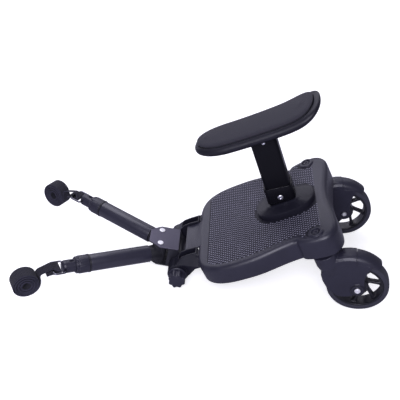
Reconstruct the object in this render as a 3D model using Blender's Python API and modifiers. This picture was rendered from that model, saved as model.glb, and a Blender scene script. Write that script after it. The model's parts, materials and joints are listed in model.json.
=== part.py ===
"""Stroller board with seat: a two-wheeled ride-on board that trails behind a pushchair.

Board frame: X runs from the pushchair to the wheels, Y to the right, Z off the deck, and the
origin lies on the deck between the two casters. Every length is in metres.
The whole board stands as it does when it is unhooked: tilted forward, on its two wheels and on
the round ends of its hinge cheeks, with the arms held out by the clamped hub.
Left and right are those of a child who stands on the deck and faces the pushchair.
"""

import math

import bmesh
import bpy
import numpy as np
from mathutils import Euler, Matrix, Vector

MM = 0.001
SIDES = (("left", -1), ("right", 1))
SEAT_GAP = 0.3 * MM
RUNNING_GAP = 0.4 * MM
PLASTIC_WALL = 3.2 * MM
SCREW_STEPS = 10

# Deck outline: front corner, long side, waist, ear and rear edge
DECK_FRONT_X = -262 * MM
DECK_REAR_X = 34 * MM
EAR_REAR_X = 44 * MM
DECK_HALF_WIDTH = 150.5 * MM
WAIST_HALF_WIDTH = 136 * MM
EAR_HALF_WIDTH = 153 * MM
FRONT_CORNER_LENGTH = 111 * MM
FRONT_CORNER_WIDTH = 90 * MM
FRONT_CORNER_FULLNESS = 3.0
WAIST_X = -43 * MM
EAR_X = 10 * MM
EAR_CORNER_WIDTH = 38 * MM
DECK_RIM_RADIUS = 12 * MM
SKIRT_FRONT_DEPTH = 40 * MM
SKIRT_REAR_DEPTH = 50 * MM
RIB_THICKNESS = 2.4 * MM
RIB_SPACING = 52 * MM
APRON_LENGTH = 30 * MM
APRON_HALF_WIDTH = 45.5 * MM
APRON_DROP = 1 * MM
APRON_THICKNESS = 4 * MM

# Casters; at rest the left one stands turned out a little
CASTER_Y = DECK_HALF_WIDTH - 20.5 * MM
CASTER_TRAIL = 36.5 * MM
CASTER_REST_TURN = {"left": -8.0, "right": 0.0}
CASTER_BOSS_RADIUS = 19 * MM
CASTER_BOLT_RADIUS = 4 * MM
CASTER_HEAD_RADIUS = 7.5 * MM
CASTER_HEAD_HEIGHT = 5 * MM
CASTER_HEAD_SINK = 4 * MM
CASTER_BUSH_RADIUS = 8 * MM
BUSH_FLANGE_RADIUS = 15 * MM
BUSH_FLANGE = 1.6 * MM
BUSH_TOP_WALL = 6 * MM
CROWN_THICKNESS = 18 * MM
CASTER_NUT_HEIGHT = 7 * MM
CAP_RADIUS = 16 * MM
CAP_HEIGHT = 2.6 * MM
CAP_WELL_RADIUS = 5 * MM

# Wheels
WHEEL_RADIUS = 63.5 * MM
WHEEL_WIDTH = 28 * MM
TYRE_DEPTH = 11 * MM
RIM_WALL = 4.5 * MM
HUB_RADIUS = 22 * MM
HUB_SIDE_PLAY = 0.6 * MM
BEARING_RADIUS = 11 * MM
BEARING_WIDTH = 7 * MM
AXLE_RADIUS = 4 * MM
AXLE_HEAD_RADIUS = 6.2 * MM
AXLE_HEAD_HEIGHT = 3 * MM
SPOKES = 7
SPOKE_WIDTH = 7 * MM
SPOKE_OFFSET = 12 * MM
SPOKE_HALF_DEPTH = 5.5 * MM
SPOKE_PHASE = {"left": 23.0, "right": 4.0}

# Fork and fender, with the wheel's axle as their centre
FORK_HALF_WIDTH = 20 * MM
FORK_CHEEK = 3.7 * MM
WHEEL_TO_FORK = 4.5 * MM
AXLE_BELOW_DECK = 150.5 * MM
FORK_FRONT = 60 * MM
FORK_BOSS_RADIUS = 16 * MM
FORK_BOSS_HEIGHT = 3.5 * MM
FORK_COLLAR_RADIUS = 26 * MM
HOOD_CENTRE = (-12.5 * MM, 7.2 * MM)
HOOD_RADIUS = 82 * MM
HOOD_WALL = 3.2 * MM
HOOD_ROOT = 19 * MM
HOOD_PROUD = 0.3 * MM
FENDER_DROP = 1.2 * MM
FENDER_TAIL_ANGLE = 29.0
FENDER_SEAM_ANGLE = 73.0
FENDER_SIDE_RADIUS = 67 * MM
FENDER_TAIL_SLANT = 7.0

# Hinge between the deck and the hub
HINGE_X = -321 * MM
HINGE_Z = -30 * MM
CHEEK_END_RADIUS = 22 * MM
CHEEK_INNER_Y = 46 * MM
CHEEK_TOP_Y = 71 * MM
CHEEK_DRAFT = 0.8
CHEEK_FLARE_X = -300 * MM
CHEEK_FLARE = 0.29
CHEEK_END_Y = 79 * MM
CHEEK_DEPTH = 25 * MM
CHEEK_CROWN = 3 * MM
SLOT_WALL = 4 * MM
SLOT_WIDTH = 16 * MM
SLOT_DEPTH = 20 * MM
SLOT_FRONT_X = -306 * MM
TONGUE_LENGTH = 55 * MM
TONGUE_WIDTH = 24 * MM
TONGUE_HEIGHT = 13 * MM
TONGUE_TOP = PLASTIC_WALL + SEAT_GAP
AXLE_BOLT_RADIUS = 5 * MM
AXLE_BOLT_HEAD = 9 * MM
SPACER_RADIUS = 12 * MM
KNOB_RADIUS = 17 * MM
KNOB_LOBE = 1.3 * MM
KNOB_LOBES = 8
KNOB_LENGTH = 19 * MM
KNOB_FLANGE_RADIUS = 20 * MM
KNOB_FLANGE = 4 * MM

# Hub: a folded channel and its top plate, raised from the deck's plane by HUB_PITCH
HUB_PITCH = 35.0
PLATE_THICKNESS = 2.5 * MM
PLATE_REAR = 6 * MM
PLATE_FRONT = 72 * MM
PLATE_HALF_WIDTH = 37.5 * MM
PLATE_NOSE_HALF_WIDTH = 21 * MM
PLATE_CHAMFER = 23 * MM
CHANNEL_TOP = 31 * MM
CHANNEL_BOTTOM = 14.5 * MM
WEB_FRONT = 28 * MM
WEB_REAR_RADIUS = 13 * MM
FLOOR_INSET = 0.5 * MM
PIN_REACH = 47 * MM
PIN_SPREAD = 22.8 * MM
PIN_RADIUS = 4 * MM
PIN_HEAD_RADIUS = 6.3 * MM
PIN_HEAD_HEIGHT = 2.4 * MM

# Arms, measured along each arm from its pin
ARM_YAW = 28.3
KNUCKLE_RADIUS = 15.5 * MM
KNUCKLE_FLUTES = 18
NECK_RADIUS = 16.5 * MM
TUBE_START = 25 * MM
TUBE_END = 162 * MM
TUBE_RADIUS = 18.5 * MM
TUBE_WALL = 2.5 * MM
SPIGOT_LENGTH = 22 * MM
TRIM_RING_WIDTH = 3 * MM
TRIM_RING_RADIUS = 19.8 * MM
COLLAR_LENGTH = 28 * MM
COLLAR_RADIUS = 19.2 * MM
INNER_RADIUS = 14 * MM
INNER_WALL = 2 * MM
INNER_START = 62 * MM
INNER_PROUD = 1 * MM
GUIDE_LENGTH = 12 * MM
FITTING_LENGTH = 28 * MM
FITTING_PLUG = 24 * MM
FITTING_SLOT_LENGTH = 10 * MM
FITTING_SLOT_WIDTH = 5 * MM
FITTING_SLOT_DEPTH = 5 * MM
RING_WIRE_RADIUS = 2 * MM
RING_INNER_WIDTH = 34 * MM
RING_LENGTH = 26 * MM
RING_HOLE_BACK = 5 * MM

# Webbing strap, rolled up beyond each ring
STRAP_WIDTH = 30 * MM
STRAP_THICKNESS = 2.2 * MM
RING_CORNER = RING_WIRE_RADIUS + (RING_INNER_WIDTH - STRAP_WIDTH) / 2 + MM
ROLL_RADIUS = 30 * MM
ROLL_CORE_RADIUS = 8 * MM
ROLL_TURNS = 7
ROLL_REACH = 55 * MM
ROLL_DROP = 24 * MM
ROLL_STEPS = 17
ROLL_ENTRY = 22.0
ENTRY_BEND_RADIUS = 9 * MM
STRAP_TAIL = 14 * MM
STRAP_LOOP = 11 * MM
STRAP_ARCH = 4.5 * MM

# Seat and its post; the post leans back from the deck's normal
POST_FOOT_X = -59.5 * MM
POST_LEAN = 6.3
POST_LENGTH = 54 * MM
POST_DEPTH = 40 * MM
POST_CORNER = 8 * MM
POST_WALL = 2.4 * MM
POST_BOTTOM = 13 * MM
SEAT_HEIGHT = 206 * MM
POST_TOP = SEAT_HEIGHT - 30 * MM
SLEEVE_WALL = 3 * MM
SLEEVE_FOOT = 22.5 * MM
SLEEVE_TOP = 61 * MM
SLEEVE_TOP_SLANT = 8.0
SLEEVE_CORNER = 9 * MM
BASE_LENGTH = 128 * MM
BASE_WIDTH = 91 * MM
BASE_EDGE = 11.5 * MM
BASE_FULLNESS = 2.6
BASE_HEIGHT = 21 * MM
BASE_CENTRE_X = -55 * MM
BASE_SCREW_SPREAD = 46 * MM
SCREW_RADIUS = 2.5 * MM
SCREW_HEAD_RADIUS = 5 * MM
SCREW_HEAD_HEIGHT = 3 * MM
SCREW_BITE = 2 * MM
POST_BOLT_Z = 36 * MM
POST_BOLT_RADIUS = 3 * MM
POST_BOLT_HEAD = 5 * MM
SEAT_BOLT_Z = POST_TOP - 6 * MM
SEAT_BOLT_RADIUS = 2.5 * MM
SEAT_FRONT_X = -177 * MM
SEAT_REAR_X = 96 * MM
SEAT_FRONT_HALF_WIDTH = 49.5 * MM
SEAT_REAR_HALF_WIDTH = 53.5 * MM
SEAT_FRONT_ROUND = 75 * MM
SEAT_REAR_ROUND = 53 * MM
SEAT_NOSE_RISE = 10.5 * MM
SEAT_TAIL_RISE = 19.5 * MM
SEAT_LOW_X = 0 * MM
SHELL_DEPTH = 25 * MM
RIM_DROP = 6 * MM
RIM_WIDTH = 8.5 * MM
RIM_REAR_RATIO = 1.5
PAD_SINK = 12 * MM
PAD_CROWN = 2.6 * MM
BRACKET_LENGTH = 96 * MM
BRACKET_WIDTH = 62 * MM
BRACKET_PLATE = 5 * MM
BRACKET_SPIGOT = 34 * MM

HUB_RAISE = math.radians(HUB_PITCH)
LEAN = math.radians(POST_LEAN)


def stand_tilt():
    """Forward tilt at which the wheels and the cheeks' round ends touch one floor."""
    run = CASTER_TRAIL - HINGE_X
    drop = AXLE_BELOW_DECK + HINGE_Z
    reach = math.hypot(run, drop)
    return math.asin((WHEEL_RADIUS - CHEEK_END_RADIUS) / reach) + math.atan2(drop, run)


TILT = stand_tilt()
PARTS = bpy.data.collections.new("stroller_board_with_seat")
CUTTERS = bpy.data.collections.new("cutters")


def clear_scene():
    for old in list(bpy.data.objects):
        bpy.data.objects.remove(old, do_unlink=True)
    bpy.context.scene.collection.children.link(PARTS)
    bpy.context.scene.collection.children.link(CUTTERS)


def plain_material(name, color, roughness, metallic=0.0):
    made = bpy.data.materials.new(name)
    made.use_nodes = True
    shader = made.node_tree.nodes["Principled BSDF"]
    shader.inputs["Base Color"].default_value = (*color, 1.0)
    shader.inputs["Roughness"].default_value = roughness
    shader.inputs["Metallic"].default_value = metallic
    return made


BLACK_PLASTIC = plain_material("black_plastic", (0.026, 0.026, 0.033), 0.5)
DARK_PLASTIC = plain_material("dark_plastic", (0.012, 0.012, 0.015), 0.45)
POST_COAT = plain_material("post_coat", (0.010, 0.010, 0.013), 0.4, 0.3)
TUBE_COAT = plain_material("tube_coat", (0.028, 0.028, 0.036), 0.38, 0.4)
CHANNEL_COAT = plain_material("channel_coat", (0.022, 0.022, 0.028), 0.4, 0.4)
PLATE_METAL = plain_material("plate_metal", (0.13, 0.13, 0.15), 0.42, 0.8)
STEEL = plain_material("steel", (0.62, 0.62, 0.64), 0.25, 1.0)
TYRE_RUBBER = plain_material("tyre_rubber", (0.02, 0.02, 0.024), 0.7)
NYLON = plain_material("nylon", (0.05, 0.05, 0.055), 0.5)
WEBBING = plain_material("webbing", (0.014, 0.014, 0.016), 0.9)
PAD_FABRIC = plain_material("pad_fabric", (0.03, 0.03, 0.036), 0.85)


def frame_at(name, parent, location, rotation=(0, 0, 0)):
    """An empty on a joint's axis, or at a sub-assembly's foot, that its pieces hang from."""
    made = bpy.data.objects.new(name, None)
    made.parent = parent
    made.location = location
    made.rotation_euler = rotation
    PARTS.objects.link(made)
    return made


def finished(name, mesh, parent, finish, smooth_angle=35.0):
    """A sub-part from a mesh in its parent frame's coordinates."""
    mesh.materials.clear()
    mesh.materials.append(finish)
    mesh.shade_smooth()
    mesh.set_sharp_from_angle(angle=math.radians(smooth_angle))
    made = bpy.data.objects.new(name, mesh)
    made.parent = parent
    PARTS.objects.link(made)
    return made


def mesh_from(bm, name):
    mesh = bpy.data.meshes.new(name)
    bm.to_mesh(mesh)
    bm.free()
    return mesh


def box(name, low, high):
    """Box between two corners."""
    bm = bmesh.new()
    bmesh.ops.create_cube(bm, size=1)
    low = Vector(low)
    size = Vector(high) - low
    for vertex in bm.verts:
        vertex.co = low + Vector(((vertex.co[i] + 0.5) * size[i] for i in range(3)))
    return mesh_from(bm, name)


def rod(name, radius, start, end, segments=20, end_radius=None):
    """Cylinder, or cone, between two points."""
    start = Vector(start)
    along = Vector(end) - start
    turn = along.to_track_quat("Z", "Y").to_matrix().to_4x4()
    bm = bmesh.new()
    bmesh.ops.create_cone(
        bm, cap_ends=True, segments=segments, depth=along.length,
        radius1=radius, radius2=radius if end_radius is None else end_radius,
        matrix=Matrix.Translation(start + along / 2) @ turn)
    return mesh_from(bm, name)


def turned(name, profile, start, axis, steps=20):
    """Solid of revolution: (radius, height) pairs down the outer side, about an axis at start."""
    mesh = bpy.data.meshes.new(name)
    points = [(radius, 0.0, height) for radius, height in profile]
    closed = profile[0][0] > 0
    edges = [(i, i + 1) for i in range(len(points) - 1)]
    if closed:
        edges.append((len(points) - 1, 0))
    mesh.from_pydata(points, edges, [])
    spun = bpy.data.objects.new(name, mesh)
    bpy.context.scene.collection.objects.link(spun)
    screw = spun.modifiers.new("turn", "SCREW")
    screw.steps = screw.render_steps = steps
    screw.use_merge_vertices = True
    screw.merge_threshold = 0.00001
    turn = Vector(axis).to_track_quat("Z", "Y").to_matrix().to_4x4()
    return made_mesh(spun, Matrix.Translation(Vector(start)) @ turn)


def made_mesh(source, matrix):
    """The evaluated mesh of a helper object, welded and placed; the helper is removed."""
    graph = bpy.context.evaluated_depsgraph_get()
    mesh = bpy.data.meshes.new_from_object(source.evaluated_get(graph))
    bpy.data.objects.remove(source, do_unlink=True)
    bm = bmesh.new()
    bm.from_mesh(mesh)
    bmesh.ops.remove_doubles(bm, verts=bm.verts, dist=0.000002)
    bmesh.ops.transform(bm, matrix=matrix, verts=bm.verts)
    bm.to_mesh(mesh)
    bm.free()
    return mesh


def flat_solid(name, outline, low, high, upright=False):
    """A filled 2D curve extruded from low to high: along Z, or along Y if it stands upright."""
    curve = bpy.data.curves.new(name, "CURVE")
    curve.dimensions = "2D"
    curve.fill_mode = "BOTH"
    curve.extrude = (high - low) / 2
    spline = curve.splines.new("POLY")
    spline.points.add(len(outline) - 1)
    for point, (a, b) in zip(spline.points, outline):
        point.co = (a, b, 0, 1)
    spline.use_cyclic_u = True
    helper = bpy.data.objects.new(name, curve)
    bpy.context.scene.collection.objects.link(helper)
    middle = (low + high) / 2
    if upright:
        place = Matrix.Translation((0, middle, 0)) @ Matrix.Rotation(math.pi / 2, 4, "X")
    else:
        place = Matrix.Translation((0, 0, middle))
    return made_mesh(helper, place)


def tube_along(name, points, radius, cyclic=False, resolution=2):
    """A round wire along the points."""
    curve = bpy.data.curves.new(name, "CURVE")
    curve.dimensions = "3D"
    curve.bevel_depth = radius
    curve.bevel_resolution = resolution
    curve.use_fill_caps = not cyclic
    spline = curve.splines.new("POLY")
    spline.points.add(len(points) - 1)
    for point, place in zip(spline.points, points):
        point.co = (*place, 1)
    spline.use_cyclic_u = cyclic
    helper = bpy.data.objects.new(name, curve)
    bpy.context.scene.collection.objects.link(helper)
    return made_mesh(helper, Matrix.Identity(4))


def rounded(mesh, radius, segments, chosen):
    """Rounds the sharp edges whose middle the test chooses."""
    bm = bmesh.new()
    bm.from_mesh(mesh)
    bmesh.ops.dissolve_limit(bm, angle_limit=0.001, verts=bm.verts, edges=bm.edges)
    edges = [
        edge for edge in bm.edges
        if edge.calc_face_angle(0) > 0.6 and chosen((edge.verts[0].co + edge.verts[1].co) / 2)
    ]
    bmesh.ops.bevel(
        bm, geom=edges, offset=radius, offset_type="OFFSET", segments=segments,
        profile=0.5, affect="EDGES", clamp_overlap=True)
    bm.to_mesh(mesh)
    bm.free()
    return mesh


def mirrored(mesh):
    """A copy of the mesh on the other side of the board's middle plane."""
    other = mesh.copy()
    other.transform(Matrix.Scale(-1, 4, (0, 1, 0)))
    other.flip_normals()
    return other


def combine(made, mesh, operation="DIFFERENCE"):
    """Cuts a mesh in the same frame out of a sub-part, joins it on, or keeps only what both hold."""
    cutter = bpy.data.objects.new(f"{made.name}_{mesh.name}_cutter", mesh)
    cutter.parent = made.parent
    cutter.hide_render = True
    cutter.hide_viewport = False
    cutter.display_type = "WIRE"
    CUTTERS.objects.link(cutter)
    modifier = made.modifiers.new(mesh.name, "BOOLEAN")
    modifier.operation = operation
    modifier.solver = "EXACT"
    modifier.object = cutter
    return made


def offset_outline(outline, inset):
    """A closed outline moved inwards along its normals; its points run counter-clockwise."""
    points = np.asarray(outline, float)
    along = np.roll(points, -1, axis=0) - np.roll(points, 1, axis=0)
    along /= np.linalg.norm(along, axis=1)[:, None]
    inward = np.stack([-along[:, 1], along[:, 0]], axis=1)
    return points + inward * inset


def rounded_rectangle(length, width, corner, steps=3):
    """Counter-clockwise outline about the origin."""
    outline = []
    for quarter in range(4):
        sign_x = (1, -1, -1, 1)[quarter]
        sign_y = (1, 1, -1, -1)[quarter]
        centre = (sign_x * (length / 2 - corner), sign_y * (width / 2 - corner))
        for step in range(steps + 1):
            angle = math.pi / 2 * (quarter + step / steps)
            outline.append((centre[0] + corner * math.cos(angle), centre[1] + corner * math.sin(angle)))
    return outline


def arc(centre, radius, start, end, steps):
    """Points of a circle between two angles in degrees, both ends included."""
    angles = np.radians(np.linspace(start, end, steps + 1))
    return [(centre[0] + radius * math.cos(a), centre[1] + radius * math.sin(a)) for a in angles]


def loft(name, rings):
    """Skin over rings that each pair a point with its mirror across Y; both ends are closed.

    Every ring starts at the middle of its rear end, so point i faces point -i.
    """
    count = len(rings[0])
    bm = bmesh.new()
    loops = [[bm.verts.new(tuple(point)) for point in ring] for ring in rings]
    for lower, upper in zip(loops, loops[1:]):
        for i in range(count):
            j = (i + 1) % count
            bm.faces.new((lower[i], lower[j], upper[j], upper[i]))
    for loop, turned_over in ((loops[0], True), (loops[-1], False)):
        for i in range(count // 2):
            corners = [loop[i], loop[i + 1], loop[-i - 1], loop[-i]]
            unique = list(dict.fromkeys(corners))
            bm.faces.new(unique[::-1] if turned_over else unique)
    bmesh.ops.recalc_face_normals(bm, faces=bm.faces)
    return mesh_from(bm, name)


# Deck


def deck_outline():
    """Outline from the middle of the rear edge, counter-clockwise; its two halves mirror."""
    corner_x = DECK_FRONT_X + FRONT_CORNER_LENGTH
    corner_y = DECK_HALF_WIDTH - FRONT_CORNER_WIDTH
    power = 2 / FRONT_CORNER_FULLNESS
    half = []
    for angle in np.linspace(0, math.pi / 2, 8):
        half.append((corner_x - FRONT_CORNER_LENGTH * max(math.cos(angle), 0) ** power,
                     corner_y + FRONT_CORNER_WIDTH * math.sin(angle) ** power))
    for share in np.linspace(0, 1, 4)[1:]:
        ease = (1 - math.cos(math.pi * share)) / 2
        half.append((corner_x + (WAIST_X - corner_x) * share,
                     DECK_HALF_WIDTH + (WAIST_HALF_WIDTH - DECK_HALF_WIDTH) * ease))
    for share in np.linspace(0, 1, 4)[1:]:
        ease = math.sin(math.pi / 2 * share)
        half.append((WAIST_X + (EAR_X - WAIST_X) * share,
                     WAIST_HALF_WIDTH + (EAR_HALF_WIDTH - WAIST_HALF_WIDTH) * ease))
    ear_y = EAR_HALF_WIDTH - EAR_CORNER_WIDTH
    for angle in np.linspace(0, math.pi / 2, 6)[1:]:
        half.append((EAR_X + (EAR_REAR_X - EAR_X) * math.sin(angle),
                     ear_y + EAR_CORNER_WIDTH * math.cos(angle)))
    for share in (0.33, 0.67):
        ease = (1 - math.cos(math.pi * share)) / 2
        half.append((EAR_REAR_X + (DECK_REAR_X - EAR_REAR_X) * ease, ear_y * (1 - share)))
    return [(DECK_REAR_X, 0.0)] + half[::-1] + [(x, -y) for x, y in half]


def skirt_depth(x):
    """Depth of the deck's skirt, which deepens towards the wheels."""
    share = (x - DECK_FRONT_X) / (EAR_REAR_X - DECK_FRONT_X)
    return SKIRT_FRONT_DEPTH + (SKIRT_REAR_DEPTH - SKIRT_FRONT_DEPTH) * share


def wedge_below_skirt():
    """What lies under the slanted lower edge of the skirt."""
    low = -3 * SKIRT_REAR_DEPTH
    margin = 50 * MM
    front = DECK_FRONT_X - margin
    rear = EAR_REAR_X + margin
    side = [(front, low), (rear, low), (rear, -skirt_depth(rear)), (front, -skirt_depth(front))]
    half_width = EAR_HALF_WIDTH + margin
    return flat_solid("below_skirt", side, -half_width, half_width, upright=True)


def deck_pockets():
    """The hollow under the deck, divided by ribs and left solid round the caster bosses."""
    inner = offset_outline(deck_outline(), PLASTIC_WALL)
    pocket = flat_solid("pocket", inner, -2 * SKIRT_REAR_DEPTH, -PLASTIC_WALL)
    chamfer = DECK_RIM_RADIUS - PLASTIC_WALL
    pocket = rounded(pocket, chamfer, 1, lambda middle: middle.z > -PLASTIC_WALL - MM)
    hollow = bpy.data.objects.new("deck_hollow_cutter", pocket)
    hollow.hide_render = True
    hollow.display_type = "WIRE"
    CUTTERS.objects.link(hollow)
    far = DECK_HALF_WIDTH + EAR_HALF_WIDTH
    half_rib = RIB_THICKNESS / 2
    rib_top = -2 * SKIRT_REAR_DEPTH
    for index in (-1.5, -0.5, 0.5, 1.5):
        y = index * RIB_SPACING
        rib = box(f"rib_y{index}", (2 * DECK_FRONT_X, y - half_rib, rib_top), (far, y + half_rib, 0))
        combine_cutter(hollow, rib)
    for index in (1, 2):
        x = DECK_FRONT_X + index * (POST_FOOT_X - DECK_FRONT_X) / 2
        rib = box(f"rib_x{index}", (x - half_rib, -far, rib_top), (x + half_rib, far, 0))
        combine_cutter(hollow, rib)
    for name, side in SIDES:
        place = side * CASTER_Y
        boss = rod(f"boss_{name}", CASTER_BOSS_RADIUS, (0, place, rib_top), (0, place, 0))
        combine_cutter(hollow, boss)
    return hollow


def combine_cutter(cutter, mesh):
    """Takes a mesh out of a cutter, so that this much material stays."""
    kept = bpy.data.objects.new(f"{mesh.name}_kept", mesh)
    kept.hide_render = True
    kept.display_type = "WIRE"
    CUTTERS.objects.link(kept)
    modifier = cutter.modifiers.new(mesh.name, "BOOLEAN")
    modifier.operation = "DIFFERENCE"
    modifier.solver = "EXACT"
    modifier.object = kept


def cheek_tongue(side, clearance=0.0):
    """The tongue of a hinge cheek inside the deck's front wall, or its clearance."""
    inner = CHEEK_INNER_Y + SLOT_WALL + 2 * MM
    ends = sorted((side * (inner - clearance), side * (inner + TONGUE_WIDTH + clearance)))
    return box(
        "tongue",
        (DECK_FRONT_X - 1.5 * MM, ends[0], -TONGUE_TOP - TONGUE_HEIGHT - clearance),
        (DECK_FRONT_X + TONGUE_LENGTH + clearance, ends[1], -TONGUE_TOP + clearance))


def build_deck(board):
    body = flat_solid("deck", deck_outline(), -SKIRT_REAR_DEPTH - 6 * MM, 0)
    body = rounded(body, DECK_RIM_RADIUS, 2, lambda middle: middle.z > -MM)
    deck = finished("deck", body, board, BLACK_PLASTIC)
    combine(deck, wedge_below_skirt())
    hollow = made_mesh(deck_pockets(), Matrix.Identity(4))
    hollow.name = "hollow"
    combine(deck, hollow)
    apron_top = -APRON_DROP
    apron = box(
        "apron",
        (DECK_FRONT_X - APRON_LENGTH, -APRON_HALF_WIDTH, apron_top - APRON_THICKNESS),
        (DECK_FRONT_X + 2 * PLASTIC_WALL, APRON_HALF_WIDTH, apron_top))
    combine(deck, apron, "UNION")
    for name, side in SIDES:
        y = side * CASTER_Y
        boss_end = -SKIRT_REAR_DEPTH
        boss = rod(f"boss_{name}", CASTER_BOSS_RADIUS, (0, y, boss_end), (0, y, -PLASTIC_WALL / 2))
        combine(deck, boss, "UNION")
        combine(deck, rod(f"bore_{name}", CASTER_BUSH_RADIUS + SEAT_GAP, (0, y, -2 * SKIRT_REAR_DEPTH),
                          (0, y, -CASTER_HEAD_SINK - CASTER_HEAD_HEIGHT - BUSH_TOP_WALL)))
        combine(deck, rod(f"shank_{name}", CASTER_BOLT_RADIUS + SEAT_GAP, (0, y, -SKIRT_REAR_DEPTH),
                          (0, y, MM), SCREW_STEPS))
        combine(deck, rod(f"head_{name}", CASTER_HEAD_RADIUS + SEAT_GAP,
                          (0, y, -CASTER_HEAD_SINK - CASTER_HEAD_HEIGHT - SEAT_GAP), (0, y, MM)))
        combine(deck, cheek_tongue(side, SEAT_GAP))
        screw_x, screw_y = tongue_screw()
        pilot_end = -PLASTIC_WALL + SCREW_BITE + SEAT_GAP
        pilot = ((screw_x, side * screw_y, -2 * PLASTIC_WALL), (screw_x, side * screw_y, pilot_end))
        combine(deck, rod(f"pilot_{name}", SCREW_RADIUS + SEAT_GAP, *pilot, SCREW_STEPS))
    for name, side in (("front", -1), ("rear", 1)):
        x = BASE_CENTRE_X + side * BASE_SCREW_SPREAD
        ends = ((x, 0, -3 * PLASTIC_WALL), (x, 0, MM))
        combine(deck, rod(f"screw_{name}", SCREW_RADIUS + SEAT_GAP, *ends, SCREW_STEPS))


# Casters and wheels


def caster_bolt(name, board, y):
    """Bolt down through the deck's boss, with its lock nut under the fork's crown."""
    head_top = -CASTER_HEAD_SINK
    head_low = head_top - CASTER_HEAD_HEIGHT
    crown_low = fork_crown_low()
    nut_top = crown_low - SEAT_GAP
    profile = [
        (0, head_top), (CASTER_HEAD_RADIUS, head_top), (CASTER_HEAD_RADIUS, head_low),
        (CASTER_BOLT_RADIUS, head_low),
        (CASTER_BOLT_RADIUS, nut_top), (CASTER_HEAD_RADIUS, nut_top),
        (CASTER_HEAD_RADIUS, nut_top - CASTER_NUT_HEIGHT), (0, nut_top - CASTER_NUT_HEIGHT)]
    mesh = turned(name, profile, (0, y, 0), (0, 0, 1), SCREW_STEPS)
    return finished(name, mesh, board, STEEL)


def fork_top():
    """Height of the fork's collar in the board frame, under the bush's flange."""
    return -SKIRT_REAR_DEPTH - SEAT_GAP - BUSH_FLANGE - SEAT_GAP


def fork_crown_low():
    """Underside of the fork's crown, where the nut bears."""
    return fork_top() - CROWN_THICKNESS


def caster_bush(name, board, y):
    """Flanged bush in the deck's boss that the fork turns under."""
    top = -CASTER_HEAD_SINK - CASTER_HEAD_HEIGHT - BUSH_TOP_WALL - SEAT_GAP
    low = -SKIRT_REAR_DEPTH - SEAT_GAP
    bore = CASTER_BOLT_RADIUS + SEAT_GAP
    profile = [
        (CASTER_BUSH_RADIUS, top), (CASTER_BUSH_RADIUS, low), (BUSH_FLANGE_RADIUS, low),
        (BUSH_FLANGE_RADIUS, low - BUSH_FLANGE), (bore, low - BUSH_FLANGE), (bore, top)]
    return finished(name, turned(name, profile, (0, y, 0), (0, 0, 1), 14), board, NYLON)


def caster_cap(name, board, y):
    """Low round cap over the bolt's head, with a ring and a well."""
    skirt = -CASTER_HEAD_SINK + SEAT_GAP
    plug = CASTER_HEAD_RADIUS - SEAT_GAP
    profile = [
        (0, CAP_HEIGHT - 1.6 * MM), (CAP_WELL_RADIUS, CAP_HEIGHT - 1.6 * MM),
        (CAP_WELL_RADIUS + MM, CAP_HEIGHT - 0.4 * MM), (CAP_RADIUS - 3 * MM, CAP_HEIGHT),
        (CAP_RADIUS, CAP_HEIGHT / 2), (CAP_RADIUS, SEAT_GAP), (plug, SEAT_GAP), (plug, skirt), (0, skirt)]
    return finished(name, turned(name, profile, (0, y, 0), (0, 0, 1)), board, BLACK_PLASTIC)


def fork_outline():
    """Side view of the fork's cheeks about the axle, counter-clockwise."""
    boss = arc((0, 0), FORK_BOSS_RADIUS, 238, 375, 8)
    rear = [(22 * MM, 22 * MM), (33 * MM, 35.5 * MM), (45 * MM, 47.5 * MM)]
    side = FENDER_SIDE_RADIUS - SEAT_GAP
    under_fender = arc((0, 0), side, 50, FENDER_SEAM_ANGLE, 4)
    top = arc(HOOD_CENTRE, HOOD_RADIUS - 11 * MM, 66, 118, 6)
    front = [(-FORK_FRONT + 2 * MM, 58 * MM), (-FORK_FRONT, 42 * MM), (-FORK_FRONT + 2 * MM, 15 * MM),
             (-46 * MM, -5 * MM), (-33 * MM, -12.5 * MM), (-21 * MM, -14.5 * MM)]
    return boss + rear + under_fender + top + front


def hood_ring(name, radius):
    """Full ring with a rounded top that the hood and the fender are cut from, about HOOD_CENTRE."""
    half = FORK_HALF_WIDTH + HOOD_PROUD
    root = radius - HOOD_ROOT
    outer = [(root, half), (radius - 9 * MM, half), (radius - 3.4 * MM, 0.8 * half), (radius, 0.3 * half)]
    inside = half - HOOD_WALL
    inner = [(root, inside), (radius - 8 * MM, inside), (radius - HOOD_WALL, 0.3 * half)]
    profile = outer + [(r, -y) for r, y in outer[::-1]] + [(r, -y) for r, y in inner] + inner[::-1]
    centre_x, centre_z = HOOD_CENTRE
    return turned(name, profile, (centre_x, 0, centre_z), (0, -1, 0), 40)


def sector(name, start, end, inner, outer, inner_start=None):
    """Wedge about the axle between two angles in degrees, wider than the fork."""
    low = start if inner_start is None else inner_start
    outline = arc((0, 0), outer, start, end, 4) + arc((0, 0), inner, end, low, 4)
    half = 2 * FORK_HALF_WIDTH
    return flat_solid(name, outline, -half, half, upright=True)


def wheel_space():
    """Room for the wheel between the fork's cheeks."""
    inside = FORK_HALF_WIDTH - FORK_CHEEK
    return rod("wheel_space", WHEEL_RADIUS + WHEEL_TO_FORK, (0, -inside, 0), (0, inside, 0), 26)


def hood_space():
    """The hollow under the hood, behind the crown."""
    inside = FORK_HALF_WIDTH - FORK_CHEEK
    outline = arc(HOOD_CENTRE, HOOD_RADIUS - 10 * MM, 60, 91, 5)
    outline += [(-12 * MM, 50 * MM), (30 * MM, 40 * MM)]
    return flat_solid("hood_space", outline, -inside, inside, upright=True)


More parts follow.
